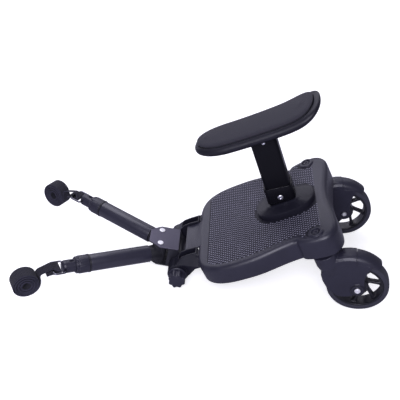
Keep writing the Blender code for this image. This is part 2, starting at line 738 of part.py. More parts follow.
def build_fork(name, side, wheel_frame):
    """Crown, collar, hood and two cheeks in one moulding, open at the bottom for the wheel."""
    half = FORK_HALF_WIDTH
    cheeks = flat_solid(name, fork_outline(), -half, half, upright=True)
    fork = finished(name, cheeks, wheel_frame, BLACK_PLASTIC)
    top = fork_top() + AXLE_BELOW_DECK
    collar = [
        (0, top), (FORK_COLLAR_RADIUS, top), (FORK_COLLAR_RADIUS, top - 26 * MM), (half, top - 50 * MM),
        (0, top - 60 * MM)]
    combine(fork, turned("collar", collar, (-CASTER_TRAIL, 0, 0), (0, 0, 1), 18), "UNION")
    combine(fork, wheel_space())
    combine(fork, hood_space())
    hood = bpy.data.objects.new(f"{name}_hood_ring", hood_ring("hood_ring", HOOD_RADIUS))
    helper = finished_cutter(hood, wheel_frame)
    combine(helper, sector("front_sector", FENDER_SEAM_ANGLE, 112, 40 * MM, 120 * MM), "INTERSECT")
    union = fork.modifiers.new("hood", "BOOLEAN")
    union.operation = "UNION"
    union.solver = "EXACT"
    union.object = helper
    face = half + FORK_BOSS_HEIGHT
    ends = sorted((side * (half - MM), side * face))
    combine(fork, rod("boss", FORK_BOSS_RADIUS - 1.5 * MM, (0, ends[0], 0), (0, ends[1], 0)), "UNION")
    bore = CASTER_BOLT_RADIUS + RUNNING_GAP
    ends = ((-CASTER_TRAIL, 0, 0), (-CASTER_TRAIL, 0, 2 * top))
    combine(fork, rod("swivel_bore", bore, *ends, SCREW_STEPS))
    crown_low = fork_crown_low() + AXLE_BELOW_DECK
    nut_room = CASTER_HEAD_RADIUS + 1.5 * MM
    combine(fork, rod("nut_room", nut_room, (-CASTER_TRAIL, 0, crown_low - 30 * MM),
                      (-CASTER_TRAIL, 0, crown_low), 12))
    ends = ((0, -2 * half, 0), (0, 2 * half, 0))
    combine(fork, rod("axle_bore", AXLE_RADIUS + SEAT_GAP, *ends, SCREW_STEPS))
    return fork


def finished_cutter(made, parent):
    """Readies a helper solid that takes Booleans of its own."""
    made.parent = parent
    made.hide_render = True
    made.display_type = "WIRE"
    CUTTERS.objects.link(made)
    return made


def build_fender(name, wheel_frame):
    """Rear half of the hood, clipped on behind the seam."""
    ring = hood_ring(name, HOOD_RADIUS - FENDER_DROP)
    fender = finished(name, ring, wheel_frame, BLACK_PLASTIC)
    seam = FENDER_SEAM_ANGLE - math.degrees(SEAT_GAP / HOOD_RADIUS)
    tail = FENDER_TAIL_ANGLE + FENDER_TAIL_SLANT
    rear = sector("rear_sector", FENDER_TAIL_ANGLE, seam, FENDER_SIDE_RADIUS, 120 * MM, tail)
    return combine(fender, rear, "INTERSECT")


def wheel_core(name, wheel_frame, side, phase):
    """Hub, slanted spokes and rim in one moulding."""
    hub_half = FORK_HALF_WIDTH - FORK_CHEEK - HUB_SIDE_PLAY
    half = WHEEL_WIDTH / 2 - 0.5 * MM
    rim_outer = WHEEL_RADIUS - TYRE_DEPTH - SEAT_GAP
    rim_inner = rim_outer - RIM_WALL
    bore = AXLE_RADIUS + RUNNING_GAP
    seat = BEARING_RADIUS + SEAT_GAP
    seat_depth = hub_half - BEARING_WIDTH
    neck = HUB_RADIUS - 6 * MM
    hub = [(neck, hub_half), (HUB_RADIUS, half - 2 * MM), (HUB_RADIUS, -half + 2 * MM), (neck, -hub_half),
           (bore, -hub_half), (bore, seat_depth), (seat, seat_depth), (seat, hub_half)]
    core = finished(name, turned(name, hub, (0, 0, 0), (0, side, 0), 18), wheel_frame, DARK_PLASTIC)
    rim = [(rim_outer, half), (rim_outer, -half), (rim_inner, -half), (rim_inner, half)]
    combine(core, turned("rim", rim, (0, 0, 0), (0, -1, 0), 28), "UNION")
    foot = math.sqrt((HUB_RADIUS - MM) ** 2 - (SPOKE_OFFSET + SPOKE_WIDTH / 2) ** 2)
    tip = math.sqrt((rim_inner + MM) ** 2 - (SPOKE_OFFSET - SPOKE_WIDTH / 2) ** 2)
    low, high = SPOKE_OFFSET - SPOKE_WIDTH / 2, SPOKE_OFFSET + SPOKE_WIDTH / 2
    for index in range(SPOKES):
        spoke = box(f"spoke{index}", (foot, -SPOKE_HALF_DEPTH, low), (tip, SPOKE_HALF_DEPTH, high))
        spoke.transform(Matrix.Rotation(2 * math.pi * index / SPOKES - math.radians(phase), 4, "Y"))
        combine(core, spoke, "UNION")
    return core


def tyre(name, wheel_frame):
    """Solid rubber ring with flat sides and a lightly crowned tread."""
    half = WHEEL_WIDTH / 2
    inner = WHEEL_RADIUS - TYRE_DEPTH
    edge = [(inner, half), (WHEEL_RADIUS - 2.8 * MM, half), (WHEEL_RADIUS - 0.8 * MM, half - 2.4 * MM)]
    profile = edge + [(WHEEL_RADIUS, 0)] + [(r, -y) for r, y in edge[::-1]]
    return finished(name, turned(name, profile, (0, 0, 0), (0, -1, 0), 32), wheel_frame, TYRE_RUBBER)


def wheel_bearing(name, wheel_frame, side):
    """Ball bearing ring in the outer face of the hub."""
    outer = FORK_HALF_WIDTH - FORK_CHEEK - HUB_SIDE_PLAY
    inner = outer - BEARING_WIDTH + SEAT_GAP
    bore = AXLE_RADIUS + SEAT_GAP / 2
    profile = [(BEARING_RADIUS, outer), (BEARING_RADIUS, inner), (bore, inner), (bore, outer)]
    return finished(name, turned(name, profile, (0, 0, 0), (0, side, 0), 12), wheel_frame, STEEL)


def wheel_bolt(name, wheel_frame, side):
    """Axle bolt with its domed head on the outer boss."""
    face = FORK_HALF_WIDTH + FORK_BOSS_HEIGHT + SEAT_GAP
    profile = [
        (0, face + AXLE_HEAD_HEIGHT), (0.6 * AXLE_HEAD_RADIUS, face + 0.85 * AXLE_HEAD_HEIGHT),
        (AXLE_HEAD_RADIUS, face + 0.35 * AXLE_HEAD_HEIGHT), (AXLE_HEAD_RADIUS, face), (AXLE_RADIUS, face),
        (AXLE_RADIUS, -FORK_HALF_WIDTH - AXLE_HEAD_HEIGHT), (0, -FORK_HALF_WIDTH - AXLE_HEAD_HEIGHT)]
    return finished(name, turned(name, profile, (0, 0, 0), (0, side, 0), SCREW_STEPS), wheel_frame, STEEL)


def wheel_nut(name, wheel_frame, side):
    """Low round nut on the axle bolt's inner end."""
    face = FORK_HALF_WIDTH + SEAT_GAP
    bore = AXLE_RADIUS + SEAT_GAP
    top = face + AXLE_HEAD_HEIGHT
    profile = [(AXLE_HEAD_RADIUS - MM, top), (AXLE_HEAD_RADIUS, face + 0.6 * AXLE_HEAD_HEIGHT),
               (AXLE_HEAD_RADIUS, face), (bore, face), (bore, top)]
    mesh = turned(name, profile, (0, 0, 0), (0, -side, 0), SCREW_STEPS)
    return finished(name, mesh, wheel_frame, STEEL)


def build_casters(board):
    for name, side in SIDES:
        y = side * CASTER_Y
        caster_bolt(f"caster_bolt_{name}", board, y)
        caster_bush(f"caster_bush_{name}", board, y)
        caster_cap(f"caster_cap_{name}", board, y)
        turn = math.radians(CASTER_REST_TURN[name])
        swivel = frame_at(f"caster_swivel_{name}", board, (0, y, fork_top()), (0, 0, turn))
        wheel = frame_at(f"wheel_spin_{name}", swivel, (CASTER_TRAIL, 0, -AXLE_BELOW_DECK - fork_top()))
        build_fork(f"fork_{name}", side, wheel)
        build_fender(f"fender_{name}", wheel)
        wheel_bolt(f"wheel_bolt_{name}", wheel, side)
        wheel_nut(f"wheel_nut_{name}", wheel, side)
        wheel_core(f"wheel_core_{name}", wheel, side, SPOKE_PHASE[name])
        tyre(f"tyre_{name}", wheel)
        wheel_bearing(f"wheel_bearing_{name}", wheel, side)


# Hinge cheeks, axle and clamp knob


def cheek_profile():
    """Side view of a cheek: level with the deck, then hooked down round the hinge axle."""
    hinge = (HINGE_X, HINGE_Z)
    crown_x = SLOT_FRONT_X + 8 * MM
    rear = DECK_FRONT_X + 14 * MM
    nose = arc(hinge, CHEEK_END_RADIUS, 82, 306, 12)
    foot = [(crown_x + 5 * MM, HINGE_Z - 8 * MM), (DECK_FRONT_X - 14 * MM, -CHEEK_DEPTH - MM),
            (DECK_FRONT_X, -CHEEK_DEPTH + MM), (rear, -CHEEK_DEPTH + MM)]
    top = [(rear, 0), (DECK_FRONT_X - 20 * MM, CHEEK_CROWN), (crown_x, CHEEK_CROWN - MM)]
    return nose + foot + top


def tongue_screw():
    """X and Y of the screw through the right cheek's tongue."""
    return DECK_FRONT_X + TONGUE_LENGTH / 2, CHEEK_INNER_Y + SLOT_WALL + 2 * MM + TONGUE_WIDTH / 2


def outer_draft():
    """What lies outside the right cheek's drafted outer face."""
    reach = 60 * MM
    side = [(CHEEK_TOP_Y - reach * CHEEK_DRAFT, reach), (CHEEK_TOP_Y + reach * CHEEK_DRAFT, -reach),
            (4 * reach, -reach), (4 * reach, reach)]
    trim = flat_solid("draft", side, -reach, reach, upright=True)
    trim.transform(Matrix.Translation((HINGE_X + reach / 2, 0, 0)) @ Matrix.Rotation(math.pi / 2, 4, "Z"))
    return trim


def outer_flare():
    """What lies outside the right cheek where it widens towards the deck."""
    reach = 90 * MM
    end = CHEEK_END_Y + MM
    front, rear = CHEEK_FLARE_X - reach, CHEEK_FLARE_X + reach
    plan = [(front, end), (CHEEK_FLARE_X, end), (rear, end + reach * CHEEK_FLARE), (rear, 3 * end),
            (front, 3 * end)]
    return flat_solid("flare", plan, -reach, reach)


def build_cheek(name, board, side):
    reach = 100 * MM
    body = flat_solid(name, cheek_profile(), CHEEK_INNER_Y, reach, upright=True)
    screw_x, screw_y = tongue_screw()
    deck_room = offset_outline(deck_outline(), -SEAT_GAP)
    slot_y = CHEEK_INNER_Y + SLOT_WALL
    parts = [
        ("draft", outer_draft(), "DIFFERENCE"),
        ("flare", outer_flare(), "DIFFERENCE"),
        ("deck_room", flat_solid("deck_room", deck_room, -reach, reach), "DIFFERENCE"),
        ("tongue", cheek_tongue(1), "UNION"),
        ("slot", box("slot", (SLOT_FRONT_X, slot_y, -SLOT_DEPTH),
                     (DECK_FRONT_X - 3 * MM, slot_y + SLOT_WIDTH, 20 * MM)), "DIFFERENCE"),
        ("spot_face", rod("spot_face", CHEEK_END_RADIUS + 3 * MM, (HINGE_X, CHEEK_END_Y, HINGE_Z),
                          (HINGE_X, 2 * reach, HINGE_Z), 24), "DIFFERENCE"),
        ("axle_bore", rod("axle_bore", AXLE_BOLT_RADIUS + SEAT_GAP, (HINGE_X, 0, HINGE_Z),
                          (HINGE_X, 2 * reach, HINGE_Z), SCREW_STEPS), "DIFFERENCE"),
        ("screw_bore", rod("screw_bore", SCREW_RADIUS + SEAT_GAP, (screw_x, screw_y, -2 * CHEEK_DEPTH),
                           (screw_x, screw_y, 0), SCREW_STEPS), "DIFFERENCE"),
    ]
    cheek = finished(name, mirrored(body) if side < 0 else body, board, BLACK_PLASTIC)
    for label, mesh, operation in parts:
        mesh.name = label
        combine(cheek, mirrored(mesh) if side < 0 else mesh, operation)
    return cheek


def hinge_axle(board):
    """Clamp bolt across both cheeks and the hub, its head on the right side."""
    face = CHEEK_END_Y + MM
    head = face + 6 * MM
    tip = -face - KNOB_FLANGE - 0.6 * KNOB_LENGTH
    profile = [(0, head), (AXLE_BOLT_HEAD, head), (AXLE_BOLT_HEAD, face), (AXLE_BOLT_RADIUS, face),
               (AXLE_BOLT_RADIUS, tip), (0, tip)]
    mesh = turned("hinge_axle", profile, (HINGE_X, 0, HINGE_Z), (0, 1, 0), 12)
    return finished("hinge_axle", mesh, board, STEEL)


def hinge_spacer(name, board, side):
    """Nylon spacer between a cheek and the hub's web."""
    inner = PLATE_HALF_WIDTH + SEAT_GAP
    outer = CHEEK_INNER_Y - SEAT_GAP
    bore = AXLE_BOLT_RADIUS + SEAT_GAP
    profile = [(SPACER_RADIUS, outer), (SPACER_RADIUS, inner), (bore, inner), (bore, outer)]
    mesh = turned(name, profile, (HINGE_X, 0, HINGE_Z), (0, side, 0), 12)
    return finished(name, mesh, board, NYLON)


def build_knob(board):
    """Lobed hand knob with a round flange, on the left end of the axle."""
    frame = frame_at("knob_turn", board, (HINGE_X, -CHEEK_END_Y - MM - SEAT_GAP, HINGE_Z))
    outline = []
    for index in range(KNOB_LOBES * 4):
        angle = 2 * math.pi * index / (KNOB_LOBES * 4)
        radius = KNOB_RADIUS + KNOB_LOBE * math.cos(KNOB_LOBES * angle)
        outline.append((radius * math.cos(angle), radius * math.sin(angle)))
    tip = -KNOB_FLANGE - KNOB_LENGTH
    body = flat_solid("clamp_knob", outline, tip, -KNOB_FLANGE / 2, upright=True)
    body = rounded(body, 1.5 * MM, 1, lambda middle: middle.y < tip + 0.1 * MM)
    knob = finished("clamp_knob", body, frame, BLACK_PLASTIC)
    combine(knob, rod("flange", KNOB_FLANGE_RADIUS, (0, -KNOB_FLANGE, 0), (0, 0, 0), 28), "UNION")
    depth = -KNOB_FLANGE - 0.6 * KNOB_LENGTH - MM
    combine(knob, rod("thread_bore", AXLE_BOLT_RADIUS + SEAT_GAP, (0, depth, 0), (0, 10 * MM, 0)))


def build_hinge(board):
    for name, side in SIDES:
        build_cheek(f"hinge_cheek_{name}", board, side)
        hinge_spacer(f"hinge_spacer_{name}", board, side)
        screw_x, screw_y = tongue_screw()
        place = (screw_x, side * screw_y, -TONGUE_TOP - TONGUE_HEIGHT - SEAT_GAP)
        pan_screw(f"cheek_screw_{name}", board, place, TONGUE_HEIGHT + 2 * SEAT_GAP + SCREW_BITE)
    hinge_axle(board)
    build_knob(board)


def pan_screw(name, parent, head_face, reach):
    """Pan-head screw driven upwards: its head hangs below head_face, which reads (x, y, z)."""
    head, low = SCREW_HEAD_RADIUS, -SCREW_HEAD_HEIGHT
    profile = [(0, reach), (SCREW_RADIUS, reach - MM), (SCREW_RADIUS, 0), (head, 0),
               (head, 0.6 * low), (0.6 * head, low), (0, low)]
    return finished(name, turned(name, profile, head_face, (0, 0, 1), SCREW_STEPS), parent, STEEL)


# Hub


def plate_outline(inset=0.0):
    """The hub plate from above, with two long chamfers at its nose; X points backwards."""
    shoulder = PLATE_FRONT - PLATE_CHAMFER
    half = PLATE_HALF_WIDTH - inset
    return [(-PLATE_REAR, half), (-shoulder, half), (-PLATE_FRONT, PLATE_NOSE_HALF_WIDTH),
            (-PLATE_FRONT, -PLATE_NOSE_HALF_WIDTH), (-shoulder, -half), (-PLATE_REAR, -half)]


def web_outline():
    """Side view of a channel web: a lug round the axle that rises to the plate."""
    rise = CHANNEL_TOP - SEAT_GAP
    lug = arc((0, 0), WEB_REAR_RADIUS, -90, 60, 6)
    low = -CHANNEL_BOTTOM - PLATE_THICKNESS / 2
    return lug + [(-PLATE_REAR, rise), (-WEB_FRONT, rise), (-WEB_FRONT, low), (0, low)]


def build_hub(hub):
    sheet = flat_solid("hub_plate", plate_outline(), CHANNEL_TOP, CHANNEL_TOP + PLATE_THICKNESS)
    plate = finished("hub_plate", sheet, hub, PLATE_METAL, 20)
    floor_low = -CHANNEL_BOTTOM - PLATE_THICKNESS
    floor = flat_solid("hub_channel", plate_outline(FLOOR_INSET), floor_low, -CHANNEL_BOTTOM)
    channel = finished("hub_channel", floor, hub, CHANNEL_COAT, 20)
    for name, side in SIDES:
        ends = sorted((side * PLATE_HALF_WIDTH, side * (PLATE_HALF_WIDTH - PLATE_THICKNESS)))
        web = flat_solid(f"web_{name}", web_outline(), ends[0], ends[1], upright=True)
        combine(channel, web, "UNION")
    wall = AXLE_BOLT_RADIUS + 4 * MM
    back = box("back_web", (-wall - PLATE_THICKNESS, -PLATE_HALF_WIDTH + MM, -CHANNEL_BOTTOM - MM),
               (-wall, PLATE_HALF_WIDTH - MM, CHANNEL_TOP - SEAT_GAP))
    combine(channel, back, "UNION")
    combine(channel, rod("axle_bore", AXLE_BOLT_RADIUS + RUNNING_GAP, (0, -2 * PLATE_HALF_WIDTH, 0),
                         (0, 2 * PLATE_HALF_WIDTH, 0), SCREW_STEPS))
    for name, side in SIDES:
        x = -PIN_REACH
        y = side * PIN_SPREAD
        ends = ((x, y, -2 * CHANNEL_TOP), (x, y, 2 * CHANNEL_TOP))
        for sheet in (plate, channel):
            combine(sheet, rod(f"pin_bore_{name}", PIN_RADIUS + SEAT_GAP, *ends, SCREW_STEPS))
        arm_pin(f"arm_pin_{name}", hub, x, y)


def arm_pin(name, hub, x, y):
    """Rivet through plate, knuckle and channel: a domed head at each end."""
    top = CHANNEL_TOP + PLATE_THICKNESS + SEAT_GAP
    low = -CHANNEL_BOTTOM - PLATE_THICKNESS - SEAT_GAP
    profile = [
        (0, top + PIN_HEAD_HEIGHT), (0.55 * PIN_HEAD_RADIUS, top + 0.85 * PIN_HEAD_HEIGHT),
        (PIN_HEAD_RADIUS, top + 0.25 * PIN_HEAD_HEIGHT), (PIN_HEAD_RADIUS, top), (PIN_RADIUS, top),
        (PIN_RADIUS, low), (PIN_HEAD_RADIUS, low), (PIN_HEAD_RADIUS, low - 0.6 * PIN_HEAD_HEIGHT),
        (0, low - PIN_HEAD_HEIGHT)]
    return finished(name, turned(name, profile, (x, y, 0), (0, 0, 1), SCREW_STEPS), hub, STEEL)


# Arms: X runs from the free end back to the pin


def arm_axis_height():
    """Height of the arms' axis over the hinge axle: the middle of the channel."""
    return (CHANNEL_TOP - CHANNEL_BOTTOM) / 2 - MM


def build_knuckle(name, arm):
    """Fluted barrel round the pin, with a neck and a spigot that the tube is pressed on."""
    top = CHANNEL_TOP - SEAT_GAP - arm_axis_height()
    low = -CHANNEL_BOTTOM + SEAT_GAP - arm_axis_height()
    outline = []
    for index in range(KNUCKLE_FLUTES * 2):
        angle = math.pi * index / KNUCKLE_FLUTES
        radius = KNUCKLE_RADIUS - (0.8 * MM if index % 2 else 0)
        outline.append((radius * math.cos(angle), radius * math.sin(angle)))
    knuckle = finished(name, flat_solid(name, outline, low, top), arm, DARK_PLASTIC, 20)
    start = -TUBE_START + SEAT_GAP
    combine(knuckle, rod("neck", NECK_RADIUS, (0, 0, 0), (start, 0, 0)), "UNION")
    plug = TUBE_RADIUS - TUBE_WALL - SEAT_GAP
    combine(knuckle, rod("spigot", plug, (start + MM, 0, 0), (start - SPIGOT_LENGTH, 0, 0), 20), "UNION")
    ends = ((0, 0, 2 * low), (0, 0, 2 * top))
    combine(knuckle, rod("pin_bore", PIN_RADIUS + RUNNING_GAP, *ends, SCREW_STEPS))


def sleeve_mesh(name, outer, inner, start, end, steps=20):
    """A plain tube along the arm, from start to end."""
    profile = [(outer, end), (outer, start), (inner, start), (inner, end)]
    return turned(name, profile, (0, 0, 0), (-1, 0, 0), steps)


def lock_collar(name, arm):
    """Twist collar that clamps the inner tube, stepped at its front lip."""
    start = TUBE_END + TRIM_RING_WIDTH + 2 * SEAT_GAP
    end = start + COLLAR_LENGTH
    bore = INNER_RADIUS + RUNNING_GAP
    lip = 1.2 * MM
    profile = [
        (COLLAR_RADIUS - 2 * lip, end), (COLLAR_RADIUS - lip, end - lip),
        (COLLAR_RADIUS - lip, end - 4 * lip), (COLLAR_RADIUS, end - 5 * lip), (COLLAR_RADIUS, start),
        (bore, start), (bore, end)]
    return finished(name, turned(name, profile, (0, 0, 0), (-1, 0, 0), 20), arm, BLACK_PLASTIC)


def fitting_start():
    return TUBE_END + TRIM_RING_WIDTH + COLLAR_LENGTH + INNER_PROUD


def ring_axis():
    """Distance along the arm to the hole that the steel ring turns in."""
    return fitting_start() + FITTING_LENGTH - RING_HOLE_BACK


def end_fitting(name, arm):
    """Round-nosed end piece: plugged into the inner tube, slotted on top, drilled for the ring."""
    start = fitting_start() + SEAT_GAP
    end = fitting_start() + FITTING_LENGTH
    plug = INNER_RADIUS - INNER_WALL - SEAT_GAP
    nose = 6 * MM
    profile = [(0, end)]
    for angle in np.radians(np.linspace(30, 90, 3)):
        profile.append((INNER_RADIUS - nose + nose * math.sin(angle),
                        end - nose + nose * math.cos(angle)))
    plug_end = start - FITTING_PLUG
    profile += [(INNER_RADIUS, start), (plug, start), (plug, plug_end), (0, plug_end)]
    fitting = finished(name, turned(name, profile, (0, 0, 0), (-1, 0, 0)), arm, BLACK_PLASTIC)
    slot = rounded_rectangle(FITTING_SLOT_LENGTH, FITTING_SLOT_WIDTH, FITTING_SLOT_WIDTH / 2 - 0.01 * MM)
    slot_x = -start - FITTING_SLOT_LENGTH / 2 - 1.5 * MM
    outline = [(slot_x + x, y) for x, y in slot]
    combine(fitting, flat_solid("slot", outline, INNER_RADIUS - FITTING_SLOT_DEPTH, 2 * INNER_RADIUS))
    hole = RING_WIRE_RADIUS + RUNNING_GAP
    across = 2 * INNER_RADIUS
    combine(fitting, rod("ring_hole", hole, (-ring_axis(), -across, 0), (-ring_axis(), across, 0), 10))
    ease = 2.5 * hole
    for label, sign in (("ease_left", -1), ("ease_right", 1)):
        combine(fitting, rod(label, ease, (-ring_axis(), sign * 0.8 * INNER_RADIUS, 0),
                             (-ring_axis(), sign * 1.5 * INNER_RADIUS, 0), 10, 2 * ease))
    return fitting


def ring_outline():
    """Wire centre of the steel ring, about its turning bar; X runs towards the arm."""
    half = RING_INNER_WIDTH / 2 + RING_WIRE_RADIUS
    centre = -RING_LENGTH / 2
    loop = rounded_rectangle(RING_LENGTH, 2 * half, RING_CORNER, 3)
    return [(centre + x, y, 0) for x, y in loop]


def strap_centreline():
    """Middle line of the webbing about the ring's far bar, in the arm's upright plane.

    From its tail under the bar, round through the ring, over the bar and down to the roll.
    A small bend leads it onto the roll, which winds inwards on an even spiral. The bend turns
    the other way than the roll, so the two circles touch where the roll begins.
    X runs towards the arm.
    """
    layer = RING_WIRE_RADIUS + STRAP_THICKNESS / 2 + SEAT_GAP
    fold = arc((STRAP_LOOP, 0), layer, -90, 90, 6)
    tail = [(-STRAP_TAIL, -layer - 3 * MM), (-STRAP_TAIL / 2, -layer - MM), (0, -layer)]
    arch = [(0.6 * STRAP_LOOP, layer + 0.5 * STRAP_ARCH), (0.2 * STRAP_LOOP, layer + STRAP_ARCH),
            (-0.3 * STRAP_LOOP, layer + 0.9 * STRAP_ARCH)]
    centre = np.array([-ROLL_REACH, -ROLL_DROP])
    outer = ROLL_RADIUS - STRAP_THICKNESS / 2
    entry = math.radians(ROLL_ENTRY)
    bend_centre = centre + (outer + ENTRY_BEND_RADIUS) * np.array([math.cos(entry), math.sin(entry)])
    away = np.array(arch[-1]) - bend_centre
    start = math.atan2(away[1], away[0]) + math.acos(ENTRY_BEND_RADIUS / np.hypot(*away))
    bend_end = entry + math.pi
    bend = arc(bend_centre, ENTRY_BEND_RADIUS, math.degrees(start), math.degrees(bend_end), 4)
    turns = np.arange(1, ROLL_TURNS * ROLL_STEPS + 1) / ROLL_STEPS
    radii = outer + (ROLL_CORE_RADIUS - outer) * turns / ROLL_TURNS
    angles = entry - 2 * math.pi * turns
    roll = [(centre[0] + r * math.cos(a), centre[1] + r * math.sin(a)) for r, a in zip(radii, angles)]
    return np.array(tail + fold + arch + bend + roll)


def band_outline(line, thickness):
    """Closed outline of a band of even thickness along its middle line."""
    along = np.gradient(line, axis=0)
    along /= np.linalg.norm(along, axis=1)[:, None]
    normal = np.stack([-along[:, 1], along[:, 0]], axis=1) * thickness / 2
    return np.concatenate([line + normal, (line - normal)[::-1]])


def least_gap(line, thickness, skip):
    """Least distance between stretches of the middle line over skip points apart, less one thickness."""
    apart = np.linalg.norm(line[:, None] - line[None], axis=2)
    index = np.arange(len(line))
    apart[np.abs(index[:, None] - index[None]) <= skip] = np.inf
    return apart.min() - thickness


def build_strap(name, strap_frame):
    line = strap_centreline()
    half = STRAP_WIDTH / 2
    mesh = flat_solid(name, band_outline(line, STRAP_THICKNESS).tolist(), -half, half, upright=True)
    gap = least_gap(line, STRAP_THICKNESS, ROLL_STEPS // 2)
    length = np.linalg.norm(np.diff(line, axis=0), axis=1).sum()
    print(f"{name}: {length / MM:.0f} mm of webbing, least gap to itself {gap / MM:.2f} mm")
    return finished(name, mesh, strap_frame, WEBBING)


def build_arms(hub):
    for name, side in SIDES:
        yaw = -side * math.radians(ARM_YAW)
        pin = (-PIN_REACH, side * PIN_SPREAD, arm_axis_height())
        arm = frame_at(f"arm_swing_{name}", hub, pin, (0, 0, yaw))
        build_knuckle(f"arm_knuckle_{name}", arm)
        bore = TUBE_RADIUS - TUBE_WALL
        tube = sleeve_mesh(name, TUBE_RADIUS, bore, TUBE_START, TUBE_END)
        finished(f"arm_tube_{name}", tube, arm, TUBE_COAT)
        ring_start = TUBE_END + SEAT_GAP
        trim = sleeve_mesh(name, TRIM_RING_RADIUS, INNER_RADIUS + RUNNING_GAP, ring_start,
                           ring_start + TRIM_RING_WIDTH)
        finished(f"trim_ring_{name}", trim, arm, DARK_PLASTIC)
        lock_collar(f"lock_collar_{name}", arm)
        build_inner_tube(f"inner_tube_{name}", arm)
        end_fitting(f"end_fitting_{name}", arm)
        ring = frame_at(f"ring_pivot_{name}", arm, (-ring_axis(), 0, 0))
        wire = tube_along("ring", ring_outline(), RING_WIRE_RADIUS, cyclic=True, resolution=1)
        finished(f"steel_ring_{name}", wire, ring, STEEL)
        strap = frame_at(f"strap_pivot_{name}", ring, (-RING_LENGTH, 0, 0))
        build_strap(f"strap_{name}", strap)


def build_inner_tube(name, arm):
    """Sliding tube with a guide shoe at its hidden end."""
    guide = TUBE_RADIUS - TUBE_WALL - RUNNING_GAP
    bore = INNER_RADIUS - INNER_WALL
    end = fitting_start()
    shoe_end = INNER_START + GUIDE_LENGTH
    profile = [(INNER_RADIUS, end), (INNER_RADIUS, shoe_end), (guide, shoe_end), (guide, INNER_START),
               (bore, INNER_START), (bore, end)]
    return finished(name, turned(name, profile, (0, 0, 0), (-1, 0, 0)), arm, TUBE_COAT)


# Seat


def base_ring(share, grow, height, steps=24):
    """Ring between the base's rounded oblong foot (share 0) and the sleeve's rectangle (share 1)."""
    half_length = (POST_LENGTH + SLEEVE_WALL) / 2 + SLEEVE_WALL + grow
    half_depth = (POST_DEPTH + SLEEVE_WALL) / 2 + SLEEVE_WALL + grow
    edge = grow if share == 0 else 0
    foot_length, foot_width = BASE_LENGTH / 2 + edge, BASE_WIDTH / 2 + edge
    fullness = BASE_FULLNESS
    centre_x = BASE_CENTRE_X + (POST_FOOT_X + LEAN * BASE_HEIGHT - BASE_CENTRE_X) * share
    ring = []
    for index in range(steps):
        angle = 2 * math.pi * index / steps
        along, across = abs(math.cos(angle)), abs(math.sin(angle))
        foot = ((along / foot_length) ** fullness + (across / foot_width) ** fullness) ** (-1 / fullness)
        square = ((along / half_length) ** 6 + (across / half_depth) ** 6) ** (-1 / 6)
        radius = foot + (square - foot) * share
        ring.append((centre_x + radius * math.cos(angle), radius * math.sin(angle), height))
    return ring


def build_seat_base(board, post):
    """Domed base on the deck, with the socket that the post stands in, and the sleeve on top."""
    rings = [base_ring(0, 0, SEAT_GAP), base_ring(0, 0, BASE_EDGE),
             base_ring(0, -2 * MM, BASE_EDGE + 1.5 * MM),
             base_ring(0.3, 3 * MM, BASE_EDGE + 3.5 * MM), base_ring(0.75, 3 * MM, BASE_EDGE + 6.5 * MM),
             base_ring(1, 3 * MM, BASE_HEIGHT - MM), base_ring(1, 1.5 * MM, BASE_HEIGHT)]
    base = finished("seat_base", loft("seat_base", rings), board, BLACK_PLASTIC, 30)
    lean = Matrix.Translation((POST_FOOT_X, 0, 0)) @ Matrix.Rotation(LEAN, 4, "Y")
    clear = SEAT_GAP
    socket = rounded_rectangle(POST_LENGTH + 2 * clear, POST_DEPTH + 2 * clear, POST_CORNER)
    bore = flat_solid("bore", socket, POST_BOTTOM - clear, 2 * SLEEVE_TOP)
    bore.transform(lean)
    combine(base, bore)
    for name, side in (("front", -1), ("rear", 1)):
        x = BASE_CENTRE_X + side * BASE_SCREW_SPREAD
        pilot = rod(f"screw_{name}", SCREW_RADIUS + SEAT_GAP, (x, 0, -MM), (x, 0, BASE_EDGE), SCREW_STEPS)
        combine(base, pilot)
        pan_screw(f"base_screw_{name}", board, (x, 0, -PLASTIC_WALL - SEAT_GAP), PLASTIC_WALL + BASE_EDGE)
    build_sleeve(post)


def build_sleeve(post):
    """Box round the post's foot, its top cut on a slant."""
    clear = SEAT_GAP
    length = POST_LENGTH + 2 * (SLEEVE_WALL + clear)
    depth = POST_DEPTH + 2 * (SLEEVE_WALL + clear)
    outline = rounded_rectangle(length, depth, SLEEVE_CORNER)
    block = flat_solid("post_sleeve", outline, SLEEVE_FOOT, 1.3 * SLEEVE_TOP)
    sleeve = finished("post_sleeve", block, post, DARK_PLASTIC)
    above = box("above", (-length, -depth, 0), (length, depth, SLEEVE_TOP))
    slant = Matrix.Rotation(math.radians(SLEEVE_TOP_SLANT), 4, "Y")
    above.transform(Matrix.Translation((0, 0, SLEEVE_TOP)) @ slant)
    combine(sleeve, above)
    foot = box("foot", (-length, -depth, -SLEEVE_TOP), (length, depth, BASE_HEIGHT + SEAT_GAP))
    foot.transform(Matrix.Rotation(-LEAN, 4, "Y"))
    combine(sleeve, foot)
    bore = rounded_rectangle(POST_LENGTH + 2 * clear, POST_DEPTH + 2 * clear, POST_CORNER)
    combine(sleeve, flat_solid("bore", bore, 0, 2 * SLEEVE_TOP))
    ends = ((0, -depth, POST_BOLT_Z), (0, depth, POST_BOLT_Z))
    combine(sleeve, rod("bolt_bore", POST_BOLT_RADIUS + SEAT_GAP, *ends, SCREW_STEPS))


